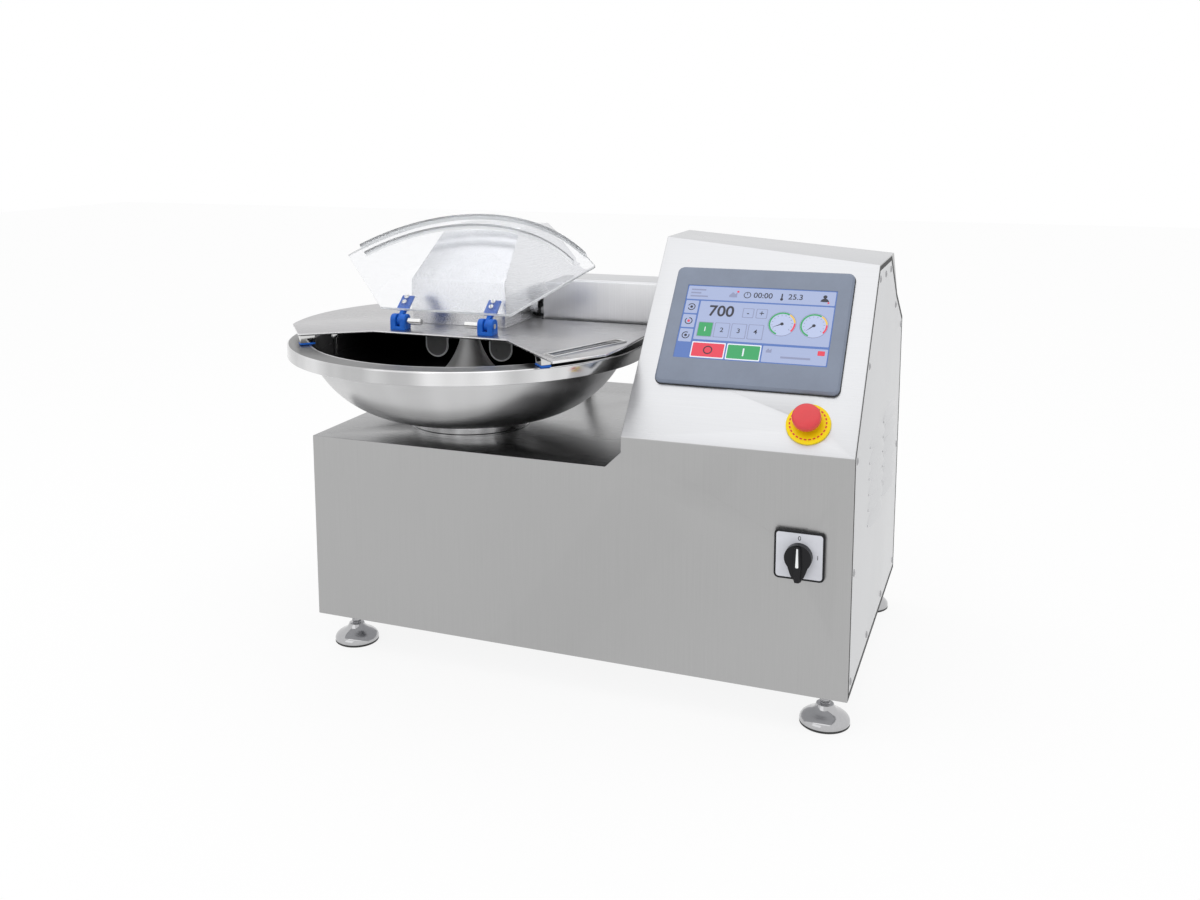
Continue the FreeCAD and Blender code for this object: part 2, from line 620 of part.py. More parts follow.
pocket(lid, [rect(hood_left + 8, 12, hood_right - 8, S["hood_back"] - 10)], LID_TOP + 1, 10)
pocket(lid, [rect(hood_right - 12, S["shaft_offset"] - slot_r, edge_x + 5,
                  S["shaft_offset"] + slot_r)], LID_TOP + 1, 10)
GRIP = [(224, -205), (240, -216), (296, -72), (280, -62)]
pocket(lid, [GRIP], LID_TOP + 1, 10)


def hood_shape(label, inset):
    """The knife hood as a solid: its side outline and its front outline in common."""
    side = body(label + "_side", HOOD_X, BY, 0, node=False)
    low = LID_TOP - (0 if inset.value == 0 else 2)
    pad(side, [[
        (-S["hood_front"] + inset, low),
        (-S["hood_front"] + inset, LID_TOP + S["hood_low"] - inset * 0.4),
        (S["hood_ridge"] + inset * 0.4, LID_TOP + S["hood_high"] - inset),
        (S["hood_crown"] - inset * 0.2, LID_TOP + S["hood_high"] - inset),
        (S["hood_crown"] + 52 - inset * 0.7, LID_TOP + S["hood_high"] - 30 - inset * 0.7),
        (S["hood_back"] - inset, LID_TOP + 40), (S["hood_back"] - inset, low),
    ]], -100, 200, "YZ_Plane")
    front = body(label + "_front", HOOD_X, BY, 0, node=False)
    half = S["hood_half"] - inset
    top = S["hood_top_half"] - inset
    pad(front, [[(-half, low - 1), (half, low - 1), (half, LID_TOP + S["hood_low"]),
                 (top, LID_TOP + S["hood_high"] + 1), (-top, LID_TOP + S["hood_high"] + 1),
                 (-half, LID_TOP + S["hood_low"])]], -400, 500, "XZ_Plane")
    made = doc.addObject("Part::MultiCommon", label)
    made.Shapes = [side, front]
    return made


hood_cut = doc.addObject("Part::Cut", "hood_shell")
hood_cut.Base = hood_shape("hood_outer", size(0))
hood_cut.Tool = hood_shape("hood_inner", T)
slot = body("hood_slot", HOOD_X, BY, 0, node=False)
pad(slot, [rect(S["shaft_offset"] - slot_r, LID, S["shaft_offset"] + slot_r, SHAFT_Z + slot_r)],
    S["hood_half"] - 10, 20, "YZ_Plane")
combine("knife_hood", "Cut", hood_cut, slot)

tongues = body("lid_tongues", BX, BY, 0)
for a, b in ((-80, -38), (38, 80)):
    pad(tongues, [[(a, LID), (a, LID - 34), arc_to((a + b) / 2, LID - 55, 21, -1),
                   arc_to(b, LID - 34, 21, -1), (b, LID)]], 3, 3, "XZ_Plane")
BLOCKS = [(-211, -163, 45), (213, -193, -45), (-201, 199, -45)]
for label, low, tall, wide in (("glide_blocks", 3.5, S["lid_gap"] - 3.5, 12),
                               ("glide_pads", 0.5, size(3), 12)):
    made = body(label, BX, BY, 0)
    for x, y, turn in BLOCKS:
        c, s = math.cos(math.radians(turn)), math.sin(math.radians(turn))
        loop = [(x + u * c - v * s, y + u * s + v * c) for u, v in
                ((-wide, -8), (wide, -8), (wide, 8), (-wide, 8))]
        pad(made, [loop], RIM + low, tall)
probe = body("temperature_probe", BX, BY, 0)
pad(probe, [disc(-172, -141, 6)], LID - 5, 5)
pad(probe, [disc(-172, -141, 3)], LID - 34, 30)

barrel = on_shaft("lid_hinge_barrel", 0, HINGE_Y, HINGE_Z)
pad(barrel, [disc(0, 0, 9), disc(0, 0, 6 + S["run_gap"])], BX - 112, 190)
hinge_web = body("lid_hinge_web")
pad(hinge_web, [rect(BX - 112, BY + S["hood_back"] + 4, BX + 78, HINGE_Y - 8.95)], LID_TOP, 4)
hinge_pin = on_shaft("lid_hinge_pin", 0, HINGE_Y, HINGE_Z)
pad(hinge_pin, [disc(0, 0, 6)], BX - 136, 236)
posts = body("lid_posts")
pad(posts, [rect(BX - 134, HINGE_Y - 12, BX - 116, HINGE_Y + 12),
            rect(BX + 82, HINGE_Y - 12, BX + 98, HINGE_Y + 12)], DECK, HINGE_Z - DECK + 12)
pocket(posts, [disc(HINGE_Y, HINGE_Z, 6)], BX + 120, 280, "YZ_Plane")

# Section: clear flap and its hinges.

FLAP_TURN = (X_AXIS, -S["flap_angle"].value, "(0 - Sheet.flap_angle)")
flap = body("clear_flap", FLAP_X, PIN_Y, PIN_Z, *FLAP_TURN)
far_r = S["flap_radius"]
near = S["pin_front"] + S["flap_edge"]


def side_run(radius, half):
    """How far the 45 degree side runs out before it meets a circle about the bowl's axis."""
    both_sides = 2 * radius * radius - (half - near) * (half - near)
    return (root(both_sides) - half - near) / 2


run = side_run(far_r, S["flap_half"])
corner = (S["flap_half"] + run, -S["flap_edge"] - run)
pad(flap, [[(-S["flap_half"], -S["flap_edge"]), (-corner[0], corner[1]),
            arc_to(corner[0], corner[1], far_r, 1), (S["flap_half"], -S["flap_edge"])]],
    -S["flap_drop"], S["flap_gauge"])
trim = S["flap_half"] - 36
for outer_r in (far_r, S["inner_skirt"]):
    inner_r = outer_r - S["skirt_gauge"]
    a, b = side_run(outer_r, trim), side_run(inner_r, trim)
    pad(flap, [[(-trim - b, -S["flap_edge"] - b), (-trim - a, -S["flap_edge"] - a),
                arc_to(trim + a, -S["flap_edge"] - a, outer_r, 1),
                (trim + b, -S["flap_edge"] - b),
                arc_to(-trim - b, -S["flap_edge"] - b, inner_r, -1)]],
        -S["flap_drop"] - S["flap_skirt"], S["flap_skirt"])

leaves = body("flap_hinge_leaves", FLAP_X, PIN_Y, PIN_Z, *FLAP_TURN)
leaf_screws = body("flap_leaf_screws", FLAP_X, PIN_Y, PIN_Z, *FLAP_TURN)
knuckles = body("lid_hinge_knuckles", FLAP_X, PIN_Y, 0)
pins = on_shaft("flap_hinge_pins", FLAP_X, PIN_Y, PIN_Z)
eye = size(7.5)
leaf_z = S["flap_gauge"] - S["flap_drop"]
for side in (-1, 1):
    at = S["hinge_across"] * side
    pad(leaves, [rect(at - 11, -47, at + 11, -17)], leaf_z, 3)
    pad(leaves, [rect(at - 3.5, -24, at + 3.5, 0)], leaf_z, 9)
    pad(leaves, [disc(0, 0, eye)], at - 3.5, 7, "YZ_Plane")
    pocket(leaves, [disc(0, 0, S["pin_radius"] + S["run_gap"])], at + 10, 20, "YZ_Plane")
    pad(leaf_screws, [disc(at, -41, 4), disc(at, -30, 4)], leaf_z + 3, 1.5)
    pad(knuckles, [[(-11, LID_TOP), (11, LID_TOP), (11, PIN_Z + 2), arc_to(2, PIN_Z + 11, 9, 1),
                    (-2, PIN_Z + 11), arc_to(-11, PIN_Z + 2, 9, 1)]], at - 13, 26, "YZ_Plane")
    pocket(knuckles, [rect(-20, PIN_Z - 8.5, 20, PIN_Z + 20)], at + 4.1, 8.2, "YZ_Plane")
    pocket(knuckles, [disc(0, PIN_Z, S["pin_radius"])], at + 20, 40, "YZ_Plane")
    reach_in = at - 13 if side < 0 else at - 39
    pad(pins, [disc(0, 0, S["pin_radius"])], reach_in, 52)

# Section: console controls.

def rounded(x0, y0, x1, y1, r):
    return [(x0 + r, y0), (x1 - r, y0), arc_to(x1, y0 + r, r, 1), (x1, y1 - r),
            arc_to(x1 - r, y1, r, 1), (x0 + r, y1), arc_to(x0, y1 - r, r, 1), (x0, y0 + r),
            arc_to(x0 + r, y0, r, 1)]


half_w, half_h = S["hmi_width"] / 2, S["hmi_height"] / 2
SCREEN_Y = HMI_Y + 4
screen_w, screen_h = S["screen_width"] / 2, S["screen_height"] / 2
bezel = on_slant("hmi_bezel")
pad(bezel, [rounded(HMI_X - half_w, HMI_Y - half_h, HMI_X + half_w, HMI_Y + half_h, 10)], 1.5, 7)
soften(bezel, 3, "Chamfer", lambda e: level(e, 8.5))
pocket(bezel, [rect(HMI_X - screen_w, SCREEN_Y - screen_h, HMI_X + screen_w, SCREEN_Y + screen_h)],
       9, 3)
gasket = on_slant("hmi_gasket")
pad(gasket, [rounded(HMI_X - half_w - 1, HMI_Y - half_h - 1, HMI_X + half_w + 1,
                     HMI_Y + half_h + 1, 11),
             rect(HMI_X - HALF_W - 2, HMI_Y - HALF_H - 2, HMI_X + HALF_W + 2, HMI_Y + HALF_H + 2)],
    0, 1.5)
display = on_slant("hmi_display")
pad(display, [rect(HMI_X - screen_w + 0.2, SCREEN_Y - screen_h + 0.2, HMI_X + screen_w - 0.2,
                   SCREEN_Y + screen_h - 0.2)], 6, 2)
back_box = on_slant("hmi_back_box")
pad(back_box, [rect(HMI_X - HALF_W + 3, HMI_Y - HALF_H + 3, HMI_X + HALF_W - 3,
                    HMI_Y + HALF_H - 3)], -38, 39.5)

stop_ring = on_slant("estop_ring")
bore_r = size(11)
pad(stop_ring, [disc(S["stop_across"], S["stop_slope"], S["ring_radius"]),
                disc(S["stop_across"], S["stop_slope"], bore_r)], 0, 5)
stop_body = on_slant("estop_body")
pad(stop_body, [disc(S["stop_across"], S["stop_slope"], bore_r),
                disc(S["stop_across"], S["stop_slope"], 6 + S["clear_gap"])], -40, 48)
mushroom = on_slant("estop_button")
pad(mushroom, [disc(S["stop_across"], S["stop_slope"], 6)], -20, 36)
pad(mushroom, [disc(S["stop_across"], S["stop_slope"], S["mushroom_radius"])], 16, 14)

half_p = S["switch_plate"] / 2
frame = on_front("switch_frame", S["switch_across"], S["switch_height"])
pad(frame, [rounded(-half_p - 3, -half_p - 3, half_p + 3, half_p + 3, 4),
            rect(-half_p, -half_p, half_p, half_p)], 0, 5)
plate = on_front("switch_plate", S["switch_across"], S["switch_height"])
pad(plate, [rect(-half_p + 0.2, -half_p + 0.2, half_p - 0.2, half_p - 0.2), disc(0, 0, 9)], 0, 4)
switch_body = on_front("switch_body", S["switch_across"], S["switch_height"])
pad(switch_body, [rect(-28, -28, 28, 28)], -2 - 50, 50)
knob = on_front("switch_knob", S["switch_across"], S["switch_height"])
pad(knob, [disc(0, 0, 8)], -1, 6.5)
pad(knob, [disc(0, 0, S["knob_radius"])], 5.5, 9)
pad(knob, [rect(-6, -S["knob_radius"] - 16, 6, S["knob_radius"] - 3)], 5.5, 16)

cabinet = body("control_cabinet")
pad(cabinet, [rect(W - 240, D - T - 110, W - 40, D - T)], 250, 150)

# Section: check and write.

doc.recompute()
problems = []
for obj in doc.Objects:
    if "Invalid" in obj.State or "Error" in obj.State:
        problems.append("%s is %s" % (obj.Label, obj.State))
for node in NODES:
    if node.Shape.isNull() or not node.Shape.isValid():
        problems.append("%s has no valid shape" % node.Label)
if problems:
    raise RuntimeError("; ".join(problems))
os.makedirs("parts", exist_ok=True)
for node in NODES:
    node.Shape.exportStep("parts/%s.step" % node.Label)
print("%d nodes written" % len(NODES))
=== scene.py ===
import json
import logging
import math
from dataclasses import dataclass, field
from enum import Enum
from typing import Iterable, Sequence

import bmesh
import bpy
from mathutils import Matrix, Vector


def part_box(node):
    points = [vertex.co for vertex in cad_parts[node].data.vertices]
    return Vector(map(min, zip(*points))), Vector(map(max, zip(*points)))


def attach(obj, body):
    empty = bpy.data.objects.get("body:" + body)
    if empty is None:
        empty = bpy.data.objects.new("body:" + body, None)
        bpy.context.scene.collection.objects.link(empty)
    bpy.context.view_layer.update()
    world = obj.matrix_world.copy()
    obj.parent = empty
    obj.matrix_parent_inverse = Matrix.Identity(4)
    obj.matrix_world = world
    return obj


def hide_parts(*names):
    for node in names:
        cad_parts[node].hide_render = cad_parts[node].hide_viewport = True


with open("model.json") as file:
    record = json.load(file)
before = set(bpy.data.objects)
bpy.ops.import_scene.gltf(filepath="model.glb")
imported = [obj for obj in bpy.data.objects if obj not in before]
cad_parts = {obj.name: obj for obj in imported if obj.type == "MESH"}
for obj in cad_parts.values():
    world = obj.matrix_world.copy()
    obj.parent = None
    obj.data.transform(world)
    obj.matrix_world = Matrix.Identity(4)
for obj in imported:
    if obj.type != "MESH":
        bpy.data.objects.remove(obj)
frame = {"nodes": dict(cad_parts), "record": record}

LOG = logging.getLogger("cutter_mixer")
MM = 0.001
WELD = 0.00002
FLAT_ANGLE = math.radians(0.6)
HARD_ANGLE = math.radians(30.0)
MACHINE_ORIGIN = Vector(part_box("housing_shell")[0])
Point = tuple[float, float]
Colour = tuple[float, float, float]
Socket = bpy.types.NodeSocket
Part = bpy.types.Object
Ring = Sequence[bmesh.types.BMVert]


def spot(x: float, y: float, z: float) -> Vector:
    """Turn machine millimetres into a point of the shared frame."""
    return Vector((x, y, z)) * MM + MACHINE_ORIGIN


@dataclass(frozen=True)
class Plan:
    """The sizes that the pieces share with the solids, in machine millimetres."""

    bowl_x: float = 202.0
    bowl_y: float = 170.0
    deck: float = 302.0
    rim: float = 450.0
    lid_top: float = 470.0
    shaft_z: float = 478.0
    shaft_off: float = 138.0
    trough: float = 126.0
    width: float = 860.0
    fold: float = 349.0
    slant_depth: float = 231.0
    console_top: float = 621.0
    flap_x: float = 197.0
    pin_y: float = 85.0
    pin_z: float = 484.0
    flap_angle: float = 139.0


PLAN = Plan()


class Place:
    """Matrices that carry local millimetres into the shared frame."""

    @staticmethod
    def upright(x: float = 0.0, y: float = 0.0, z: float = 0.0) -> Matrix:
        """Give the frame of a piece that stands upright at a machine point."""
        return Place.at(spot(x, y, z))

    @staticmethod
    def at(foot: Vector) -> Matrix:
        """Give an upright frame at a point of the shared frame."""
        return Matrix.Translation(foot) @ Matrix.Scale(MM, 4)

    @staticmethod
    def rightward(foot: Vector, way: float = 1.0) -> Matrix:
        """Give a frame at a point of the shared frame, with its local Z along +X, or -X for a way of -1."""
        return Matrix.Translation(foot) @ Matrix.Rotation(way * math.pi / 2, 4, "Y") @ Matrix.Scale(MM, 4)

    @staticmethod
    def forward(x: float, z: float, y: float = 0.0) -> Matrix:
        """Give a frame on the front panel: local Y is up and Z points out of the machine."""
        return Place.upright(x, y, z) @ Matrix.Rotation(math.pi / 2, 4, "X")

    @staticmethod
    def slant() -> Matrix:
        """Give the slanted panel's frame: local Y runs up the slope and Z points out of it."""
        angle = math.atan2(PLAN.console_top - PLAN.fold, PLAN.slant_depth)
        return Place.upright(0.0, 0.0, PLAN.fold) @ Matrix.Rotation(angle, 4, "X")


class Grain(Enum):
    """The way that a sheet was brushed, as stretch factors of its grain pattern."""

    UPRIGHT = (900.0, 900.0, 7.0)
    ACROSS = (7.0, 900.0, 900.0)
    DEEP = (900.0, 7.0, 900.0)
    NONE = (260.0, 260.0, 260.0)


class Nodes:
    """A node tree with short calls for adding, feeding and linking nodes."""

    def __init__(self, tree: bpy.types.NodeTree) -> None:
        """Empty a tree and start on it."""
        tree.nodes.clear()
        self.tree = tree

    def node(self, kind: str, **settings: object) -> bpy.types.Node:
        """Add a node and set its properties."""
        made = self.tree.nodes.new(kind)
        for key, value in settings.items():
            setattr(made, key, value)
        return made

    def join(self, source: Socket, target: Socket) -> None:
        """Link an output to an input."""
        self.tree.links.new(source, target)

    def feed(self, target: Socket, source: object) -> None:
        """Link a socket to an input, or set the input to a plain value."""
        if isinstance(source, Socket):
            self.join(source, target)
        else:
            target.default_value = source

    def fed(self, kind: str, inputs: dict[str | int, object], **settings: object) -> bpy.types.Node:
        """Add a node, set its properties and feed its inputs."""
        made = self.node(kind, **settings)
        for key, source in inputs.items():
            self.feed(made.inputs[key], source)
        return made

    def maths(self, kind: str, first: object, second: object = 0.0) -> Socket:
        """Do one sum on two sockets or numbers."""
        return self.fed("ShaderNodeMath", {0: first, 1: second}, operation=kind).outputs[0]

    def length(self, first: Socket, second: Socket) -> Socket:
        """Give the length of the slope over two legs."""
        squares = [self.maths("MULTIPLY", leg, leg) for leg in (first, second)]
        return self.maths("SQRT", self.maths("ADD", *squares))

    def seen(self) -> Socket:
        """Give 1 for rays that show the background: the camera's, mirrored ones and those through glass."""
        path = self.node("ShaderNodeLightPath")
        rays = path.outputs["Is Camera Ray"]
        for name in ("Is Glossy Ray", "Is Transmission Ray"):
            rays = self.maths("MAXIMUM", rays, path.outputs[name])
        return rays


class ShaderTree(Nodes):
    """A material's node tree, with short calls for the nodes that the finishes share."""

    def __init__(self, name: str) -> None:
        """Start an empty tree."""
        self.material = bpy.data.materials.new(name)
        self.material.use_nodes = True
        super().__init__(self.material.node_tree)
        self.shader = self.node("ShaderNodeBsdfPrincipled")
        self.output = self.node("ShaderNodeOutputMaterial")
        self.join(self.shader.outputs[0], self.output.inputs[0])

    def values(self, **sockets: object) -> None:
        """Set the shader's own sockets, named with underscores for their spaces."""
        for key, value in sockets.items():
            self.shader.inputs[key.replace("_", " ")].default_value = value

    def place(self, scale: Sequence[float] = (1.0, 1.0, 1.0)) -> Socket:
        """Give object coordinates in metres, scaled per axis."""
        coords = self.node("ShaderNodeTexCoord").outputs["Object"]
        mapping = self.fed("ShaderNodeMapping", {"Vector": coords, "Scale": scale}, vector_type="POINT")
        return mapping.outputs["Vector"]

    def noise(self, vector: Socket, scale: float, detail: float = 3.0, rough: float = 0.5) -> Socket:
        """Give a noise value."""
        inputs = {"Vector": vector, "Scale": scale, "Detail": detail, "Roughness": rough}
        return self.fed("ShaderNodeTexNoise", inputs).outputs[0]

    def remap(self, value: Socket, low: float, high: float, to_low: float, to_high: float) -> Socket:
        """Map a value from one span to another, clamped."""
        inputs = {"Value": value, "From Min": low, "From Max": high, "To Min": to_low, "To Max": to_high}
        return self.fed("ShaderNodeMapRange", inputs).outputs["Result"]

    def blend(self, amount: Socket, first: object, second: object) -> Socket:
        """Mix two colours."""
        first, second = (value if isinstance(value, Socket) else (*value, 1.0) for value in (first, second))
        return self.fed("ShaderNodeMix", {0: amount, 6: first, 7: second}, data_type="RGBA").outputs[2]

    def colour(self, socket: Socket) -> None:
        """Feed the shader's colour."""
        self.join(socket, self.shader.inputs["Base Color"])

    def tinted(self, value: Socket, low: float, high: float, tint: Colour, dark: float, light: float) -> None:
        """Feed the shader's colour with a tint that a value takes from a darker to a lighter factor."""
        amount = self.remap(value, low, high, 0.0, 1.0)
        self.colour(self.blend(amount, shade(tint, dark), shade(tint, light)))

    def roughness(self, socket: Socket) -> None:
        """Feed the shader's roughness."""
        self.join(socket, self.shader.inputs["Roughness"])

    def bump(self, height: Socket, depth: float) -> None:
        """Feed the shader's normal from a height."""
        made = self.fed("ShaderNodeBump", {"Strength": 1.0, "Distance": depth, "Height": height})
        self.join(made.outputs[0], self.shader.inputs["Normal"])


def shade(colour: Colour, factor: float) -> Colour:
    """Give a colour scaled by a factor."""
    return tuple(min(1.0, part * factor) for part in colour)


@dataclass(frozen=True)
class Steel:
    """Stainless steel with a grain, faint smudges and fine scratches."""

    name: str
    tint: Colour
    rough: float
    grain: Grain
    depth: float = 0.000012
    contrast: float = 0.05
    smudge: float = 0.06

    def material(self) -> bpy.types.Material:
        """Build the material."""
        tree = ShaderTree(self.name)
        tree.values(Metallic=1.0)
        lines = tree.noise(tree.place(self.grain.value), 1.0, 4.0, 0.65)
        clouds = tree.noise(tree.place(), 9.0, 4.0, 0.6)
        both = tree.maths("ADD", tree.maths("MULTIPLY", lines, 0.75), tree.maths("MULTIPLY", clouds, 0.25))
        tree.tinted(both, 0.35, 0.65, self.tint, 1.0 - self.contrast, 1.0 + self.contrast)
        worn = tree.maths("ADD", tree.remap(lines, 0.3, 0.7, -0.05, 0.05),
                          tree.remap(clouds, 0.35, 0.7, self.rough, self.rough + self.smudge))
        tree.roughness(worn)
        tree.bump(lines, self.depth)
        return tree.material


@dataclass(frozen=True)
class Plastic:
    """Moulded plastic with a fine skin and slight wear."""

    name: str
    tint: Colour
    rough: float
    skin: float = 900.0
    depth: float = 0.00002
    coat: float = 0.0
    gloss: float = 0.5

    def material(self) -> bpy.types.Material:
        """Build the material."""
        tree = ShaderTree(self.name)
        tree.values(Specular_IOR_Level=self.gloss, Coat_Weight=self.coat, Coat_Roughness=0.08)
        grain = tree.noise(tree.place(), self.skin, 2.0)
        wear = tree.noise(tree.place(), 24.0, 5.0, 0.62)
        tree.tinted(wear, 0.3, 0.7, self.tint, 0.93, 1.06)
        tree.roughness(tree.remap(wear, 0.3, 0.7, self.rough - 0.04, self.rough + 0.06))
        tree.bump(grain, self.depth)
        return tree.material


@dataclass(frozen=True)
class Clear:
    """Clear moulded sheet with a slight veil of fine scratches."""

    name: str
    tint: Colour = (0.98, 0.985, 1.0)
    veil: float = 0.05
    rough: float = 0.02

    def material(self) -> bpy.types.Material:
        """Build the material."""
        tree = ShaderTree(self.name)
        tree.values(Transmission_Weight=1.0 - self.veil, IOR=1.15)
        marks = tree.noise(tree.place((60.0, 400.0, 400.0)), 1.0, 3.0)
        tree.tinted(marks, 0.4, 0.7, self.tint, 1.0, 0.97)
        tree.roughness(tree.remap(marks, 0.4, 0.75, self.rough, self.rough + 0.05))
        return tree.material


@dataclass(frozen=True)
class BowlSteel:
    """The turned bowl: bright steel outside, with painted reflection streaks fanned about its axis, a painted
    highlight on its hump, painted shade low in its trough and a painted shadow line under the rim band.
    """

    name: str
    tint: Colour = (0.58, 0.58, 0.585)
    trough_shade: Colour = (0.018, 0.018, 0.019)
    hump_highlight: Colour = (0.90, 0.90, 0.90)
    reflection_streak: float = 0.06
    rim_shadow: float = 0.75
    rough: float = 0.27
    wall: Point = (0.1275, 0.1285)
    skin: Point = (0.1285, 0.1295)
    hump: Point = (0.055, 0.085)
    cap: Point = (0.06, 0.09)
    shade_depth: Point = (0.031, 0.034)

    def material(self) -> bpy.types.Material:
        """Build the material."""
        tree = ShaderTree(self.name)
        tree.values(Metallic=1.0)
        coords = tree.node("ShaderNodeTexCoord")
        split = tree.node("ShaderNodeSeparateXYZ")
        tree.join(coords.outputs["Object"], split.inputs[0])
        centre = spot(PLAN.bowl_x, PLAN.bowl_y, PLAN.shaft_z)
        east = tree.maths("SUBTRACT", split.outputs[0], centre.x)
        north = tree.maths("SUBTRACT", split.outputs[1], centre.y)
        reach = tree.length(east, north)
        out = tree.maths("SUBTRACT", reach, PLAN.shaft_off * MM)
        up = tree.maths("SUBTRACT", split.outputs[2], centre.z)
        ring = tree.length(out, up)
        # Painted shade: the trough's inner face is darkened towards black past the hump and low down, as the
        # shade inside the bowl.
        inside = tree.remap(ring, *self.wall, 1.0, 0.0)
        past_hump = tree.remap(reach, *self.hump, 0.0, 1.0)
        depth = tree.remap(split.outputs[2], *(centre.z - part for part in self.shade_depth), 0.0, 1.0)
        dark = tree.maths("MULTIPLY", tree.maths("MULTIPLY", inside, past_hump), depth)
        # Painted shadow: a dark line on the wall just under the rim band.
        band = spot(0, 0, PLAN.rim - 21.0).z
        rim_shadow_band = tree.remap(split.outputs[2], band - 0.006, band - 0.001, 0.0, self.rim_shadow)
        under = tree.maths("MULTIPLY", rim_shadow_band, tree.remap(ring, *self.skin, 0.0, 1.0))
        rings = tree.noise(self.turned(tree, reach, split), 1.0, 3.0)
        # Painted reflection: light and dark streaks fanned about the bowl's axis.
        shares = {i: tree.maths("DIVIDE", side, reach) for i, side in enumerate((east, north))}
        rays = tree.fed("ShaderNodeCombineXYZ", shares)
        reflection_fans = tree.remap(tree.noise(rays.outputs[0], 2.6, 2.0, 0.5), 0.38, 0.62, 0.0, 1.0)
        plain = tree.blend(reflection_fans, shade(self.tint, 1.0 - self.reflection_streak), shade(self.tint, 1.0 + self.reflection_streak))
        # Painted highlight: the hump inside the trough is lightened.
        hump = tree.maths("MULTIPLY", inside, tree.remap(reach, *self.cap, 1.0, 0.0))
        bright = tree.blend(hump, plain, self.hump_highlight)
        tree.colour(tree.blend(tree.maths("MAXIMUM", dark, under), bright, self.trough_shade))
        satin = tree.maths("MULTIPLY", hump, 0.22)
        tree.roughness(tree.maths("ADD", satin, tree.remap(rings, 0.3, 0.7, self.rough, self.rough + 0.07)))
        tree.bump(rings, 0.000008)
        return tree.material

    @staticmethod
    def turned(tree: ShaderTree, reach: Socket, split: bpy.types.Node) -> Socket:
        """Give coordinates that make rings about the bowl's axis."""
        parts = {i: tree.maths("MULTIPLY", part, 900.0) for i, part in enumerate((reach, split.outputs[2]))}
        return tree.fed("ShaderNodeCombineXYZ", parts).outputs[0]


@dataclass(frozen=True)
class Glow:
    """A printed or lit colour on the touch panel."""

    name: str
    tint: Colour
    light: float = 0.35

    def material(self) -> bpy.types.Material:
        """Build the material."""
        tree = ShaderTree(self.name)
        tree.values(Emission_Strength=self.light, Emission_Color=(*self.tint, 1.0), Specular_IOR_Level=0.5)
        cells = tree.noise(tree.place(), 1500.0, 1.0)
        tree.tinted(cells, 0.3, 0.7, self.tint, 0.96, 1.02)
        tree.roughness(tree.remap(cells, 0.3, 0.7, 0.16, 0.24))
        return tree.material


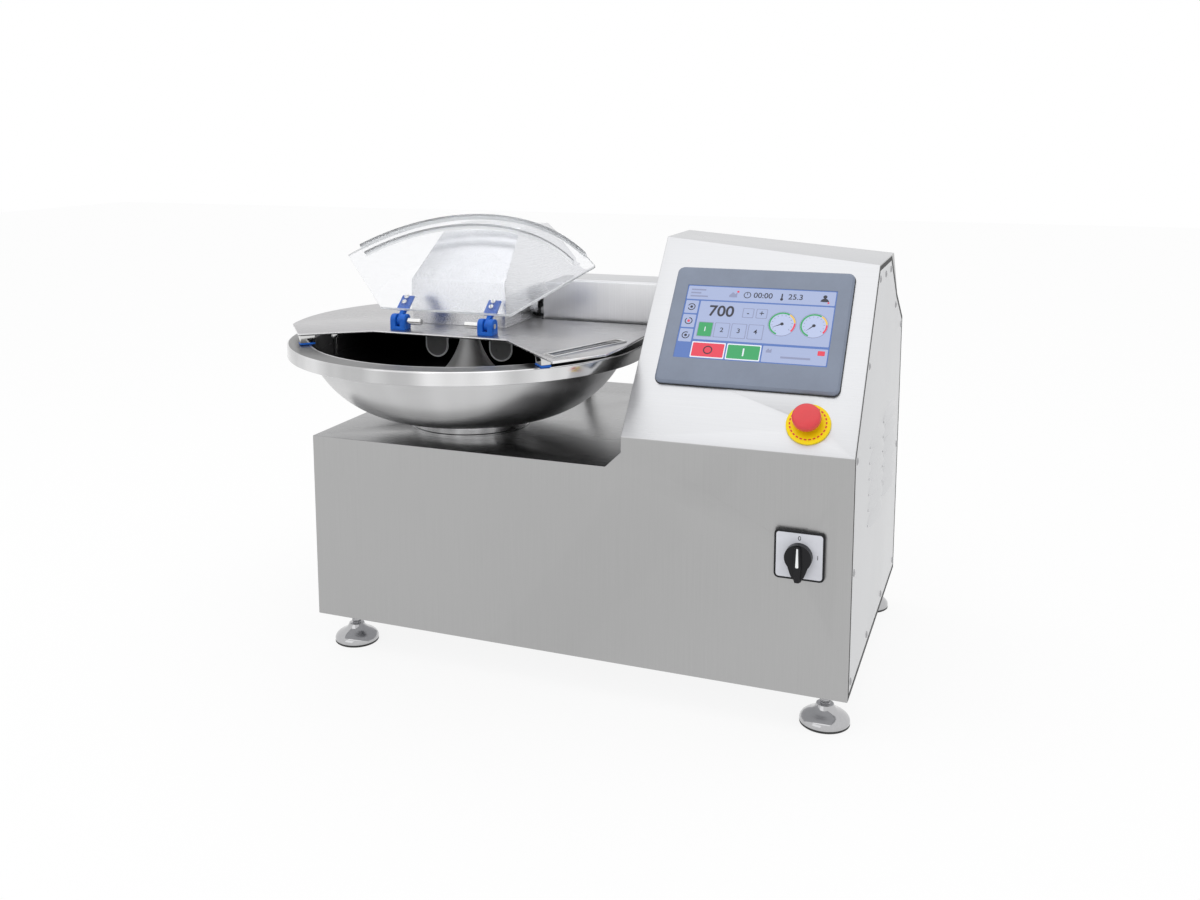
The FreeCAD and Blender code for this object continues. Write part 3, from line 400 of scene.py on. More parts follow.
class Paintbox:
    """Every finish of the machine, built once and given by name."""

    FINISHES = (
        # sheet_upright_brushed: a darker copy of the housing steel, painted shade for the housing's upright
        # faces; the rear panel is shown in it too.
        Steel("sheet_upright_brushed", (0.435, 0.435, 0.435), 0.34, Grain.UPRIGHT, contrast=0.035),
        # side_brushed_lit: a lighter copy of the housing steel, painted light for the lit right side panel and
        # the tops of its louvres.
        Steel("side_brushed_lit", (0.64, 0.645, 0.655), 0.34, Grain.UPRIGHT),
        # arm_brushed: a lighter copy of the housing steel, painted light for the shaft arm's steep sides.
        Steel("arm_brushed", (0.78, 0.785, 0.80), 0.32, Grain.UPRIGHT),
        Steel("sheet_across_brushed", (0.575, 0.58, 0.595), 0.30, Grain.ACROSS, contrast=0.04),
        # deck_brushed: a darker copy of the housing steel, painted shade of the bowl on the deck.
        Steel("deck_brushed", (0.35, 0.35, 0.355), 0.27, Grain.ACROSS, 0.000008),
        Steel("lid_steel", (0.47, 0.465, 0.475), 0.27, Grain.ACROSS, 0.000008, 0.04),
        Steel("hood_steel", (0.78, 0.785, 0.80), 0.24, Grain.DEEP, 0.000008, 0.03),
        # edge_steel: a bright copy of the steel, a painted highlight along the lid's edges.
        Steel("edge_steel", (0.84, 0.84, 0.85), 0.22, Grain.NONE, 0.000004, 0.02),
        Steel("screw_steel", (0.36, 0.36, 0.37), 0.18, Grain.NONE, 0.000004, 0.02),
        Steel("foot_steel", (0.48, 0.48, 0.49), 0.07, Grain.NONE, 0.000004, 0.04),
        Steel("polished_steel", (0.66, 0.66, 0.655), 0.12, Grain.NONE, 0.000004, 0.02, 0.05),
        Steel("turned_steel", (0.56, 0.565, 0.575), 0.24, Grain.DEEP, 0.000010),
        Steel("blade_steel", (0.62, 0.625, 0.63), 0.16, Grain.UPRIGHT, 0.000008),
        Steel("cast_aluminium", (0.58, 0.585, 0.59), 0.42, Grain.NONE, 0.00008, 0.08),
        BowlSteel("bowl_steel"),
        # rim_steel: the polished rim band, with stronger painted reflection streaks and no painted rim shadow.
        BowlSteel("rim_steel", (0.66, 0.66, 0.665), reflection_streak=0.24, rim_shadow=0.0, rough=0.10),
        Clear("clear_sheet"),
        Clear("clear_edge", (0.93, 0.95, 0.97), 0.45, 0.30),
        Plastic("blue_moulding", (0.010, 0.130, 0.60), 0.42, gloss=0.3),
        Plastic("tongue_moulding", (0.20, 0.20, 0.205), 0.30),
        Plastic("red_moulding", (0.70, 0.040, 0.050), 0.34, coat=0.15),
        Plastic("yellow_moulding", (1.0, 0.72, 0.004), 0.40, gloss=0.25),
        Plastic("black_moulding", (0.010, 0.010, 0.012), 0.30, gloss=0.22),
        Plastic("black_rubber", (0.022, 0.022, 0.022), 0.62, 420.0, 0.00006),
        Plastic("bezel_moulding", (0.20, 0.235, 0.31), 0.36, 1400.0, 0.000015),
        Plastic("white_print", (0.86, 0.87, 0.88), 0.45),
        Plastic("pale_plate", (0.63, 0.64, 0.69), 0.38, 1400.0, 0.000015),
        Plastic("red_print", (0.72, 0.04, 0.03), 0.45),
        Plastic("motor_paint", (0.10, 0.13, 0.17), 0.40, 300.0, 0.00005),
        Glow("screen_blue", (0.070, 0.135, 0.36)),
        Glow("screen_lilac", (0.285, 0.335, 0.50)),
        Glow("screen_key", (0.20, 0.22, 0.34)),
        Glow("screen_pale", (0.36, 0.41, 0.58)),
        Glow("screen_green", (0.025, 0.27, 0.09)),
        Glow("screen_red", (0.58, 0.035, 0.065)),
        Glow("screen_yellow", (0.62, 0.40, 0.06)),
        Glow("screen_ink", (0.02, 0.02, 0.035), 0.0),
        Glow("screen_white", (0.60, 0.63, 0.70)),
    )

    def __init__(self) -> None:
        """Build the materials."""
        self.made = {finish.name: finish.material() for finish in self.FINISHES}

    def get(self, name: str) -> bpy.types.Material:
        """Give a finish by its name."""
        return self.made[name]

    def dress_node(self, node: str, name: str) -> None:
        """Put a finish on a CAD node."""
        target = frame["nodes"][node]
        target.data.materials.clear()
        target.data.materials.append(self.made[name])


PAINT = Paintbox()
HOMES = {node: body for body, nodes in frame["record"]["behaviour"]["bodies"].items() for node in nodes}


def show(name: str, data: bpy.types.ID) -> Part:
    """Put data into the scene as an object."""
    made = bpy.data.objects.new(name, data)
    bpy.context.scene.collection.objects.link(made)
    return made


def baked(source: Part) -> bpy.types.Mesh:
    """Give an object's final mesh, and remove the object."""
    bpy.context.view_layer.update()
    mesh = bpy.data.meshes.new_from_object(source.evaluated_get(bpy.context.evaluated_depsgraph_get()))
    bpy.data.objects.remove(source)
    return mesh


def skin(built: bmesh.types.BMesh, rings: Sequence[Ring], closed: bool = False) -> None:
    """Join rings of corners by faces. A ring may be one point, and the last may join the first."""
    for low, high in list(zip(rings, rings[1:])) + [(rings[-1], rings[0])] * closed:
        steps = max(len(low), len(high))
        for i in range(steps):
            j = (i + 1) % steps
            around = (low[i % len(low)], low[j % len(low)], high[j % len(high)], high[i % len(high)])
            corners = tuple(dict.fromkeys(around))
            if len(corners) > 2:
                built.faces.new(corners)
    bmesh.ops.recalc_face_normals(built, faces=built.faces)


class Shop:
    """The ways in which meshes are made, finished and put on their bodies."""

    @staticmethod
    def from_bmesh(name: str, built: bmesh.types.BMesh, angle: float = 35.0) -> Part:
        """Turn a bmesh into an object with smooth faces and sharp edges."""
        mesh = bpy.data.meshes.new(name)
        built.to_mesh(mesh)
        built.free()
        mesh.polygons.foreach_set("use_smooth", [True] * len(mesh.polygons))
        mesh.set_sharp_from_angle(angle=math.radians(angle))
        return show(name, mesh)

    @staticmethod
    def finish(made: Part, like: str, paint: str = "", replaces: Sequence[str] = ()) -> Part:
        """Give a piece its finish, its body and the nodes that it stands for."""
        if paint:
            Shop.painted(made, paint)
        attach(made, HOMES[like])
        if replaces:
            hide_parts(*replaces)
        return made

    @staticmethod
    def softened(node: str, name: str, width: float, steps: int = 2) -> Part:
        """Copy a CAD node's shape with its hard edges rounded by a width in metres."""
        built = bmesh.new()
        built.from_mesh(frame["nodes"][node].data)
        bmesh.ops.remove_doubles(built, verts=built.verts, dist=WELD)
        bmesh.ops.dissolve_limit(built, angle_limit=FLAT_ANGLE, verts=built.verts, edges=built.edges)
        wide = [face for face in built.faces if len(face.verts) > 4]
        bmesh.ops.triangulate(built, faces=wide, quad_method="BEAUTY", ngon_method="BEAUTY")
        hard = [edge for edge in built.edges
                if len(edge.link_faces) == 2 and edge.calc_face_angle(0.0) > HARD_ANGLE]
        bmesh.ops.bevel(built, geom=hard, offset=width, segments=steps, profile=0.5, affect="EDGES",
                        clamp_overlap=True, loop_slide=True)
        return Shop.from_bmesh(name, built, 40.0)

    @staticmethod
    def lathe(name: str, outline: Sequence[Point], place: Matrix, steps: int = 128,
              closed: bool = False) -> Part:
        """Turn an outline of radius and height in millimetres about its local Z axis."""
        built = bmesh.new()
        turns = [2 * math.pi * i / steps for i in range(steps)]
        rings = []
        for radius, height in outline:
            points = [(radius * math.cos(a), radius * math.sin(a), height) for a in turns]
            points = [(0, 0, height)] if radius < 1e-6 else points
            rings.append([built.verts.new(place @ Vector(point)) for point in points])
        skin(built, rings, closed)
        return Shop.from_bmesh(name, built, 40.0)

    @staticmethod
    def prism(name: str, outline: Sequence[Point], low: float, high: float, place: Matrix,
              soften: float = 0.0, steps: int = 2) -> Part:
        """Raise an anticlockwise outline between two heights, in millimetres, and round its upper edges."""
        built = bmesh.new()
        bottom = [built.verts.new((x, y, low)) for x, y in outline]
        top = [built.verts.new((x, y, high)) for x, y in outline]
        built.faces.new(list(reversed(bottom)))
        lid = built.faces.new(top)
        for i in range(len(outline)):
            j = (i + 1) % len(outline)
            built.faces.new((bottom[i], bottom[j], top[j], top[i]))
        if soften > 0:
            bmesh.ops.bevel(built, geom=list(lid.edges), offset=soften, segments=steps, profile=0.5,
                            affect="EDGES", clamp_overlap=True)
        bmesh.ops.transform(built, matrix=place, verts=built.verts)
        bmesh.ops.recalc_face_normals(built, faces=built.faces)
        return Shop.from_bmesh(name, built, 35.0)

    @staticmethod
    def joined(name: str, pieces: Iterable[Part]) -> Part:
        """Join pieces into one object, keeping their materials."""
        built = bmesh.new()
        paints: list[bpy.types.Material] = []
        for piece in pieces:
            first = len(built.faces)
            built.from_mesh(piece.data)
            built.faces.ensure_lookup_table()
            own = list(piece.data.materials)
            for paint in own:
                if paint not in paints:
                    paints.append(paint)
            for face in built.faces[first:]:
                if own:
                    face.material_index = paints.index(own[min(face.material_index, len(own) - 1)])
            bpy.data.objects.remove(piece)
        made = Shop.from_bmesh(name, built, 40.0)
        for paint in paints:
            made.data.materials.append(paint)
        return made

    @staticmethod
    def stand_in(node: str, pieces: Iterable[Part], paint: str = "") -> Part:
        """Join pieces into one that stands for a CAD node."""
        return Shop.finish(Shop.joined(node + "_look", pieces), node, paint, [node])

    @staticmethod
    def painted(made: Part, paint: str) -> Part:
        """Give a loose piece its finish before it is joined."""
        made.data.materials.clear()
        made.data.materials.append(PAINT.get(paint))
        return made

    @staticmethod
    def lettering(name: str, text: str, height: float, place: Matrix, thick: float = 0.08,
                  bold: float = 0.0) -> Part:
        """Write digits or signs as a thin solid."""
        curve = bpy.data.curves.new(name, "FONT")
        curve.body = text
        curve.size = height
        curve.extrude = thick
        curve.offset = bold
        curve.align_x = "CENTER"
        curve.align_y = "CENTER"
        mesh = baked(show(name + "_curve", curve))
        mesh.transform(place)
        return show(name, mesh)


def rounded(x0: float, y0: float, x1: float, y1: float, radius: float, steps: int = 6) -> list[Point]:
    """Give the outline of a rectangle with round corners, anticlockwise."""
    points: list[Point] = []
    for cx, cy, start in ((x1 - radius, y0 + radius, -90), (x1 - radius, y1 - radius, 0),
                          (x0 + radius, y1 - radius, 90), (x0 + radius, y0 + radius, 180)):
        for k in range(steps + 1):
            a = math.radians(start + 90 * k / steps)
            points.append((cx + radius * math.cos(a), cy + radius * math.sin(a)))
    return points


def bend(cx: float, cy: float, radius: float, start: float, end: float, steps: int) -> list[Point]:
    """Give points along an arc, from one angle to another in degrees."""
    angles = [math.radians(start + (end - start) * k / steps) for k in range(steps + 1)]
    return [(cx + radius * math.cos(angle), cy + radius * math.sin(angle)) for angle in angles]


def disc(radius: float, sides: int = 24) -> list[Point]:
    """Give the outline of a round piece with a number of straight sides."""
    return bend(0, 0, radius, 0, 360 - 360 / sides, sides - 1)


def sector(radius: float, inner: float, start: float, end: float, steps: int = 14) -> list[Point]:
    """Give the outline of a piece of a ring between two angles in degrees, anticlockwise."""
    return bend(0, 0, radius, start, end, steps) + bend(0, 0, inner, end, start, steps)


def islands(node: str) -> list[tuple[Vector, Vector]]:
    """Give the box of each separate solid in a CAD node."""
    built = bmesh.new()
    built.from_mesh(frame["nodes"][node].data)
    bmesh.ops.remove_doubles(built, verts=built.verts, dist=WELD)
    left = set(built.verts)
    boxes = []
    while left:
        queue = [left.pop()]
        low, high = queue[0].co.copy(), queue[0].co.copy()
        while queue:
            vert = queue.pop()
            low = Vector(map(min, low, vert.co))
            high = Vector(map(max, high, vert.co))
            for edge in vert.link_edges:
                other = edge.other_vert(vert)
                if other in left:
                    left.remove(other)
                    queue.append(other)
        boxes.append((low, high))
    built.free()
    return sorted(boxes, key=lambda pair: tuple(round(v, 4) for v in pair[0]))


class Recipe(Nodes):
    """A Geometry Nodes tree with named inputs, run on a mesh and kept as a mesh."""

    def __init__(self, name: str) -> None:
        """Start the tree with a geometry input and output."""
        super().__init__(bpy.data.node_groups.new(name, "GeometryNodeTree"))
        self.inputs: dict[str, str] = {}
        self.entries(Geometry="Geometry")
        self.tree.interface.new_socket("Geometry", in_out="OUTPUT", socket_type="NodeSocketGeometry")
        self.start = self.node("NodeGroupInput")
        self.end = self.node("NodeGroupOutput")

    def entries(self, **kinds: str) -> None:
        """Add named inputs, each with the kind of value that it takes."""
        for name, kind in kinds.items():
            made = self.tree.interface.new_socket(name, in_out="INPUT", socket_type="NodeSocket" + kind)
            self.inputs[name] = made.identifier

    def feed(self, target: Socket, source: object) -> None:
        """Feed an input from a socket, a named input of the tree or a plain value."""
        super().feed(target, self.start.outputs[source] if isinstance(source, str) else source)

    def laid(self, points: Socket, turn: Socket) -> None:
        """Lay the input piece on points, as real geometry in the input paint."""
        piece = self.fed("GeometryNodeObjectInfo", {"Object": "Piece"}).outputs["Geometry"]
        inputs = {"Points": points, "Instance": piece, "Rotation": turn}
        spread = self.fed("GeometryNodeInstanceOnPoints", inputs)
        self.close(self.fed("GeometryNodeRealizeInstances", {0: spread.outputs[0]}).outputs[0])

    def close(self, geometry: Socket) -> None:
        """Paint the geometry and hand it to the output."""
        paint = self.fed("GeometryNodeSetMaterial", {"Geometry": geometry, "Material": "Paint"})
        self.feed(self.end.inputs[0], paint.outputs[0])

    def run(self, name: str, points: Sequence[Vector], place: Matrix = Matrix.Identity(4),
            **values: object) -> Part:
        """Run the tree on points and keep the result as a mesh."""
        mesh = bpy.data.meshes.new(name + "_points")
        mesh.from_pydata([tuple(p) for p in points], [], [])
        source = show(name + "_source", mesh)
        modifier = source.modifiers.new("recipe", "NODES")
        modifier.node_group = self.tree
        for key, value in values.items():
            modifier[self.inputs[key]] = value
        source.update_tag()
        kept = baked(source)
        if "Piece" in values:
            bpy.data.objects.remove(values["Piece"])
        kept.transform(place)
        return show(name, kept)


def scatter_recipe() -> Recipe:
    """Build the tree that puts a piece on each point, turned by chance about one axis."""
    made = Recipe("scatter")
    made.entries(Piece="Object", Axis="Vector", Seed="Int", Paint="Material")
    spans = {2: 0.0, 3: 2 * math.pi, "Seed": "Seed"}
    chance = made.fed("FunctionNodeRandomValue", spans, data_type="FLOAT")
    turn = made.fed("ShaderNodeVectorMath", {0: "Axis", "Scale": chance.outputs[1]}, operation="SCALE")
    made.laid(made.start.outputs["Geometry"], turn.outputs[0])
    return made


def ring_recipe() -> Recipe:
    """Build the tree that repeats a piece around a circle."""
    made = Recipe("ring")
    made.entries(Piece="Object", Count="Int", Radius="Float", Start="Float", Step="Float", Paint="Material")
    number = made.node("GeometryNodeInputIndex")
    angle = made.maths("ADD", made.maths("MULTIPLY", number.outputs[0], "Step"), "Start")
    east, north = (made.maths("MULTIPLY", made.maths(kind, angle), "Radius") for kind in ("COSINE", "SINE"))
    where = made.fed("ShaderNodeCombineXYZ", {0: east, 1: north})
    points = made.fed("GeometryNodePoints", {"Count": "Count", "Position": where.outputs[0]})
    turn = made.fed("ShaderNodeCombineXYZ", {2: angle})
    made.laid(points.outputs[0], turn.outputs[0])
    return made


def thread_recipe() -> Recipe:
    """Build the tree that winds a thread about the Z axis."""
    made = Recipe("thread")
    made.entries(Turns="Float", Radius="Float", Height="Float", Depth="Float", Paint="Material")
    sizes = {"Rotations": "Turns", "Start Radius": "Radius", "End Radius": "Radius", "Height": "Height"}
    spiral = made.fed("GeometryNodeCurveSpiral", {"Resolution": 28, **sizes}).outputs[0]
    profile = made.fed("GeometryNodeCurvePrimitiveCircle", {"Resolution": 4, "Radius": "Depth"}).outputs[0]
    inputs = {"Curve": spiral, "Profile Curve": profile, "Fill Caps": True}
    solid = made.fed("GeometryNodeCurveToMesh", inputs)
    made.close(solid.outputs[0])
    return made


SCATTER = scatter_recipe()
RING = ring_recipe()
THREAD = thread_recipe()


@dataclass(frozen=True)
class Rounding:
    """A CAD node that shows with its hard edges rounded, and with second and third finishes that paint light
    and shade onto its steep faces and its low upward faces.
    """

    node: str
    paint: str
    width: float = 0.8
    steps: int = 2
    side_light_paint: str = ""
    deck_shade_paint: str = ""


@dataclass
class Sheetwork:
    """The sheet pieces and small solids whose own shapes show, with rounded edges."""

    rows: tuple[Rounding, ...] = (
        Rounding("housing_shell", "sheet_across_brushed", 1.6, 3, "sheet_upright_brushed", "deck_brushed"),
        Rounding("base_plate", "sheet_across_brushed", 0.8),
        Rounding("rear_panel", "sheet_upright_brushed", 0.5, 1),
        Rounding("shaft_arm", "sheet_across_brushed", 2.0, 3, "arm_brushed"),
        Rounding("rear_cover", "sheet_across_brushed", 1.0),
        Rounding("lid_plate", "lid_steel", 1.2, 2, "edge_steel"),
        Rounding("knife_hood", "hood_steel", 2.4, 4),
        Rounding("glide_blocks", "polished_steel", 1.0),
        Rounding("glide_pads", "blue_moulding", 0.6),
        Rounding("temperature_probe", "polished_steel", 1.2, 3),
        Rounding("lid_hinge_barrel", "polished_steel", 1.0),
        Rounding("lid_hinge_web", "sheet_across_brushed", 0.8),
        Rounding("lid_hinge_pin", "polished_steel", 1.0),
        Rounding("lid_posts", "polished_steel", 1.5),
        Rounding("lid_hinge_knuckles", "blue_moulding", 0.7),
        Rounding("flap_hinge_leaves", "blue_moulding", 0.7),
        Rounding("foot_nuts", "polished_steel", 0.8),
        Rounding("bowl_nut", "polished_steel", 0.8),
        Rounding("knife_nut", "polished_steel", 1.0),
        Rounding("knife_spacers", "turned_steel", 0.6),
        Rounding("knife_shaft", "turned_steel", 0.8),
        Rounding("knife_blade_1", "blade_steel", 0.8),
        Rounding("knife_blade_2", "blade_steel", 0.8),
        Rounding("knife_blade_3", "blade_steel", 0.8),
        Rounding("bowl_gearbox", "cast_aluminium", 3.0, 3),
        Rounding("motor_mount", "motor_paint", 2.0),
        Rounding("drive_belt", "black_rubber", 0.8),
        Rounding("hmi_bezel", "bezel_moulding", 0.8),
        Rounding("hmi_gasket", "black_rubber", 0.4),
        Rounding("control_cabinet", "motor_paint", 2.0),
    )
    plain: tuple[tuple[str, str], ...] = (
        ("spindle_bearing", "turned_steel"), ("bowl_spindle", "turned_steel"),
        ("shaft_bearings", "turned_steel"), ("motor_shaft", "turned_steel"),
        ("shaft_seal", "black_rubber"), ("switch_body", "black_moulding"), ("hmi_back_box", "black_moulding"),
        ("hmi_display", "screen_blue"),
    )

    steep: float = 0.35

    def build(self) -> None:
        """Round the edges of every listed node, paint light and shade onto their steep and low faces, and
        dress the hidden ones.
        """
        for row in self.rows:
            made = Shop.softened(row.node, row.node + "_look", row.width * MM, row.steps)
            Shop.finish(made, row.node, row.paint, [row.node])
            # Painted light by face: steep faces take painted shade on the housing, painted light on the arm's
            # sides and a painted highlight on the lid's edges; upward faces beneath the fold take the deck's
            # painted shade.
            for paint in filter(None, (row.side_light_paint, row.deck_shade_paint)):
                made.data.materials.append(PAINT.get(paint))
            ledge = spot(0, 0, PLAN.fold).z
            for face in made.data.polygons if row.side_light_paint else ():
                low = bool(row.deck_shade_paint) and face.normal.z > self.steep and face.center.z < ledge
                face.material_index = 2 if low else int(abs(face.normal.z) < self.steep)
        for node, paint in self.plain:
            PAINT.dress_node(node, paint)


@dataclass
class GripRim:
    """The bright raised rim around the lid's grip slot."""

    corners: tuple[Point, ...] = ((224.0, -205.0), (240.0, -216.0), (296.0, -72.0), (280.0, -62.0))
    width: float = 3.0
    rise: float = 2.2

    def build(self) -> None:
        """Build the rim from a rail along each side of the slot."""
        place = Place.upright(PLAN.bowl_x, PLAN.bowl_y, PLAN.lid_top)
        middle = sum((Vector(corner) for corner in self.corners), Vector((0, 0))) / len(self.corners)
        rails = []
        for first, second in zip(self.corners, self.corners[1:] + self.corners[:1]):
            a, b = Vector(first), Vector(second)
            along = (b - a).normalized()
            out = Vector((along.y, -along.x))
            if out.dot((a + b) / 2 - middle) < 0:
                out = -out
            a, b = a - along * self.width, b + along * self.width
            outline = [tuple(a), tuple(b), tuple(b + out * self.width), tuple(a + out * self.width)]
            rails.append(Shop.prism("rail", outline, 0.0, self.rise, place, 0.8, 3))
        Shop.finish(Shop.joined("lid_grip_rim", rails), "lid_plate", "polished_steel")


@dataclass
class Tongues:
    """The two round-ended tongues under the lid's front edge."""

    spans: tuple[Point, ...] = ((-80.0, -38.0), (38.0, 80.0))
    top: float = 466.0
    reach: float = 34.0
    border: float = 2.6

    def build(self) -> None:
        """Build both tongues, each with a white border as a painted highlight on its edges."""
        low, high = (Vector(corner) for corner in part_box("lid_tongues"))
        thick = (high.y - low.y) / MM
        back = (high.y - MACHINE_ORIGIN.y) / MM
        place = Place.forward(PLAN.bowl_x, 0.0, back)
        plates = []
        for left, right in self.spans:
            # Each tongue is a white plate whose rim shows around a grey plate set in by the border; the white
            # rim is a painted highlight on the edges.
            for border, lift, paint in ((0.0, 0.1, "white_print"), (self.border, 0.0, "tongue_moulding")):
                radius = (right - left) / 2 - border
                foot = bend((left + right) / 2, self.top - self.reach, radius, 180, 360, 28)
                face = foot + [(right - border, self.top), (left + border, self.top)]
                plates.append(Shop.painted(Shop.prism("tongue", face, lift, thick - lift, place), paint))
        Shop.stand_in("lid_tongues", plates)


@dataclass
class SidePanel:
    """The right side panel with its pressed louvres, hex screws and a black strip around it, drawn as rubber,
    that paints the shadow in the gap at the panel's edge.
    """

    head: float = 5.5
    rise: float = 1.6
    gap_shadow_edge: float = 1.8
    inset: float = 8.8
    thick: float = 2.0
    louvre_starts: Point = (155.0, 318.0)
    louvre_low: float = 204.0
    louvre_pitch: float = 24.0
    louvre_long: float = 146.0
    louvre_tall: float = 15.0
    louvre_rise: float = 9.0
    louvre_sweep: float = 0.62 * math.pi
    depth: float = 550.0
    back_top: float = 462.0
    shoulder: Point = (452.0, 105.0)
    ridge: Point = (355.0, 31.0)

    def outline(self, inset: float) -> list[Point]:
        """Give the side's profile as depth and height, in from the edges by an inset."""
        slope = (PLAN.console_top - PLAN.fold) / PLAN.slant_depth
        step = inset / math.cos(math.atan(slope))
        top = PLAN.console_top - self.ridge[1] - inset
        shoulder = (self.shoulder[0] - inset * 0.8, PLAN.console_top - self.shoulder[1] - inset * 0.8)
        back = self.depth - inset
        return [(inset, inset), (back, inset), (back, self.back_top - inset * 0.5), shoulder,
                (self.ridge[0] - inset * 0.3, top), ((top - PLAN.fold + step) / slope, top),
                (inset, PLAN.fold + slope * inset - step)]

    def hood(self, start: float, bottom: float, place: Matrix) -> Part:
        """Build one pressed louvre: a lens that stands out of the sheet, with painted shade on its lower and
        turned-away faces and a face painted black across its lower edge for the shade of the opening.
        """
        built = bmesh.new()
        rings = []
        around, along = 12, 30
        for i in range(1, along):
            u = -math.cos(math.pi * i / along)
            swell = (1 - u * u) ** 0.5
            x = start + (u + 1) / 2 * self.louvre_long
            ring = [(x, bottom, -0.4)]
            for k in range(around + 1):
                a = self.louvre_sweep * k / around
                share = (1 - math.cos(a)) / (1 - math.cos(self.louvre_sweep))
                lift = self.louvre_rise * swell * math.sin(a + math.pi - self.louvre_sweep)
                ring.append((x, bottom + self.louvre_tall * swell * share, lift))
            ring.append((x, bottom + self.louvre_tall * swell, -0.4))
            rings.append([built.verts.new(place @ Vector(point)) for point in ring])
        built.faces.new(rings[0])
        built.faces.new(rings[-1][::-1])
        skin(built, rings)
        # Painted shade: faces that turn down or away from the side take the darker screw steel, and the face
        # across the lower edge, where the louvre opens, is painted black.
        for face in built.faces:
            bright = face.normal.z < -0.1 or face.normal.x < 0.62
            face.material_index = 2 if face.normal.z < -0.8 else int(bright)
        made = Shop.from_bmesh("louvre", built, 50.0)
        for paint in ("side_brushed_lit", "screw_steel", "black_moulding"):
            made.data.materials.append(PAINT.get(paint))
        return made

    def build(self) -> None:
        """Build the panel, the black strip of painted gap shadow around it, and its screws."""
        outward = Matrix(((0, 0, 1, 0), (1, 0, 0, 0), (0, 1, 0, 0), (0, 0, 0, 1)))
        side = Place.upright(PLAN.width, 0, 0) @ outward
        pieces = [Shop.painted(Shop.prism("sheet", self.outline(self.inset), -self.thick, 0.0, side, 0.5),
                               "side_brushed_lit")]
        for start in self.louvre_starts:
            for i in range(6):
                pieces.append(self.hood(start, self.louvre_low + self.louvre_pitch * i, side))
        Shop.stand_in("right_side_panel", pieces)
        # A black strip around the panel, drawn as rubber: painted shadow for the gap between the panel and the
        # housing.
        built = bmesh.new()
        section = ((self.gap_shadow_edge, -0.5), (self.gap_shadow_edge, 0.25), (self.inset, 0.25), (self.inset, -0.5))
        loops = [[built.verts.new(side @ Vector((*point, height))) for point in self.outline(inset)]
                 for inset, height in section]
        skin(built, loops, True)
        Shop.finish(Shop.from_bmesh("side_panel_seam", built), "right_side_panel", "black_rubber")
        edge = spot(PLAN.width, 0, 0).x
        centres = [Vector((edge, *((low + high) / 2)[1:])) for low, high in islands("side_panel_screws")]
        dome = [(0.0, 0.0), (self.head, 0.0), (self.head, 0.3), (self.head * 0.9, self.rise * 0.62),
                (self.head * 0.68, self.rise * 0.92), (2.6, self.rise), (2.1, self.rise * 0.6),
                (0.0, self.rise * 0.55)]
        head = Shop.lathe("screw_head", dome, Place.rightward(Vector((0, 0, 0))), 36)
        made = SCATTER.run("side_panel_screws_look", centres, Piece=head, Axis=(1.0, 0.0, 0.0), Seed=4,
                           Paint=PAINT.get("screw_steel"))
        Shop.finish(made, "side_panel_screws", "", ["side_panel_screws"])


@dataclass
class Feet:
    """Levelling feet: rubber pads, spun bells and threaded studs."""

    pad: Sequence[Point] = ((0, 0), (34.8, 0), (36, 1.0), (36, 3.6), (34, 3.6), (34, 5.5), (0, 5.5))
    bell: Sequence[Point] = ((0, 5.5), (34, 5.5), (34, 3.7), (35.8, 3.7), (36, 4.1), (36, 6.8), (35.3, 9.2),
                             (33.4, 12), (30.2, 14.6), (26.2, 16.8), (21.6, 19), (17.6, 21.6), (14.8, 24.6),
                             (13.2, 28), (12.4, 30), (11, 30.6), (0, 30.6))
    core: float = 7.0

    def build(self) -> None:
        """Build the four feet."""
        pads, bells, studs = [], [], []
        for i, (low, high) in enumerate(islands("foot_pads")):
            middle = (low + high) / 2
            base = Place.at(Vector((middle.x, middle.y, low.z)))
            pads.append(Shop.lathe("foot_pad", self.pad, base, 72))
            bells.append(Shop.lathe("foot_bell", self.bell, base, 96))
            core = [(0, 21.5), (self.core, 21.5), (self.core, 58.6), (0, 58.6)]
            rod = Shop.lathe("foot_rod", core, base, 40)
            studs.append(Shop.painted(rod, "foot_steel"))
            studs.append(THREAD.run("foot_thread", [], base @ Matrix.Translation((0, 0, 31.2)), Turns=10.0,
                                    Radius=7.1, Height=19.0, Depth=0.85, Paint=PAINT.get("foot_steel")))
        Shop.stand_in("foot_pads", pads, "black_rubber")
        Shop.stand_in("foot_domes", bells, "foot_steel")
        Shop.stand_in("foot_studs", studs)


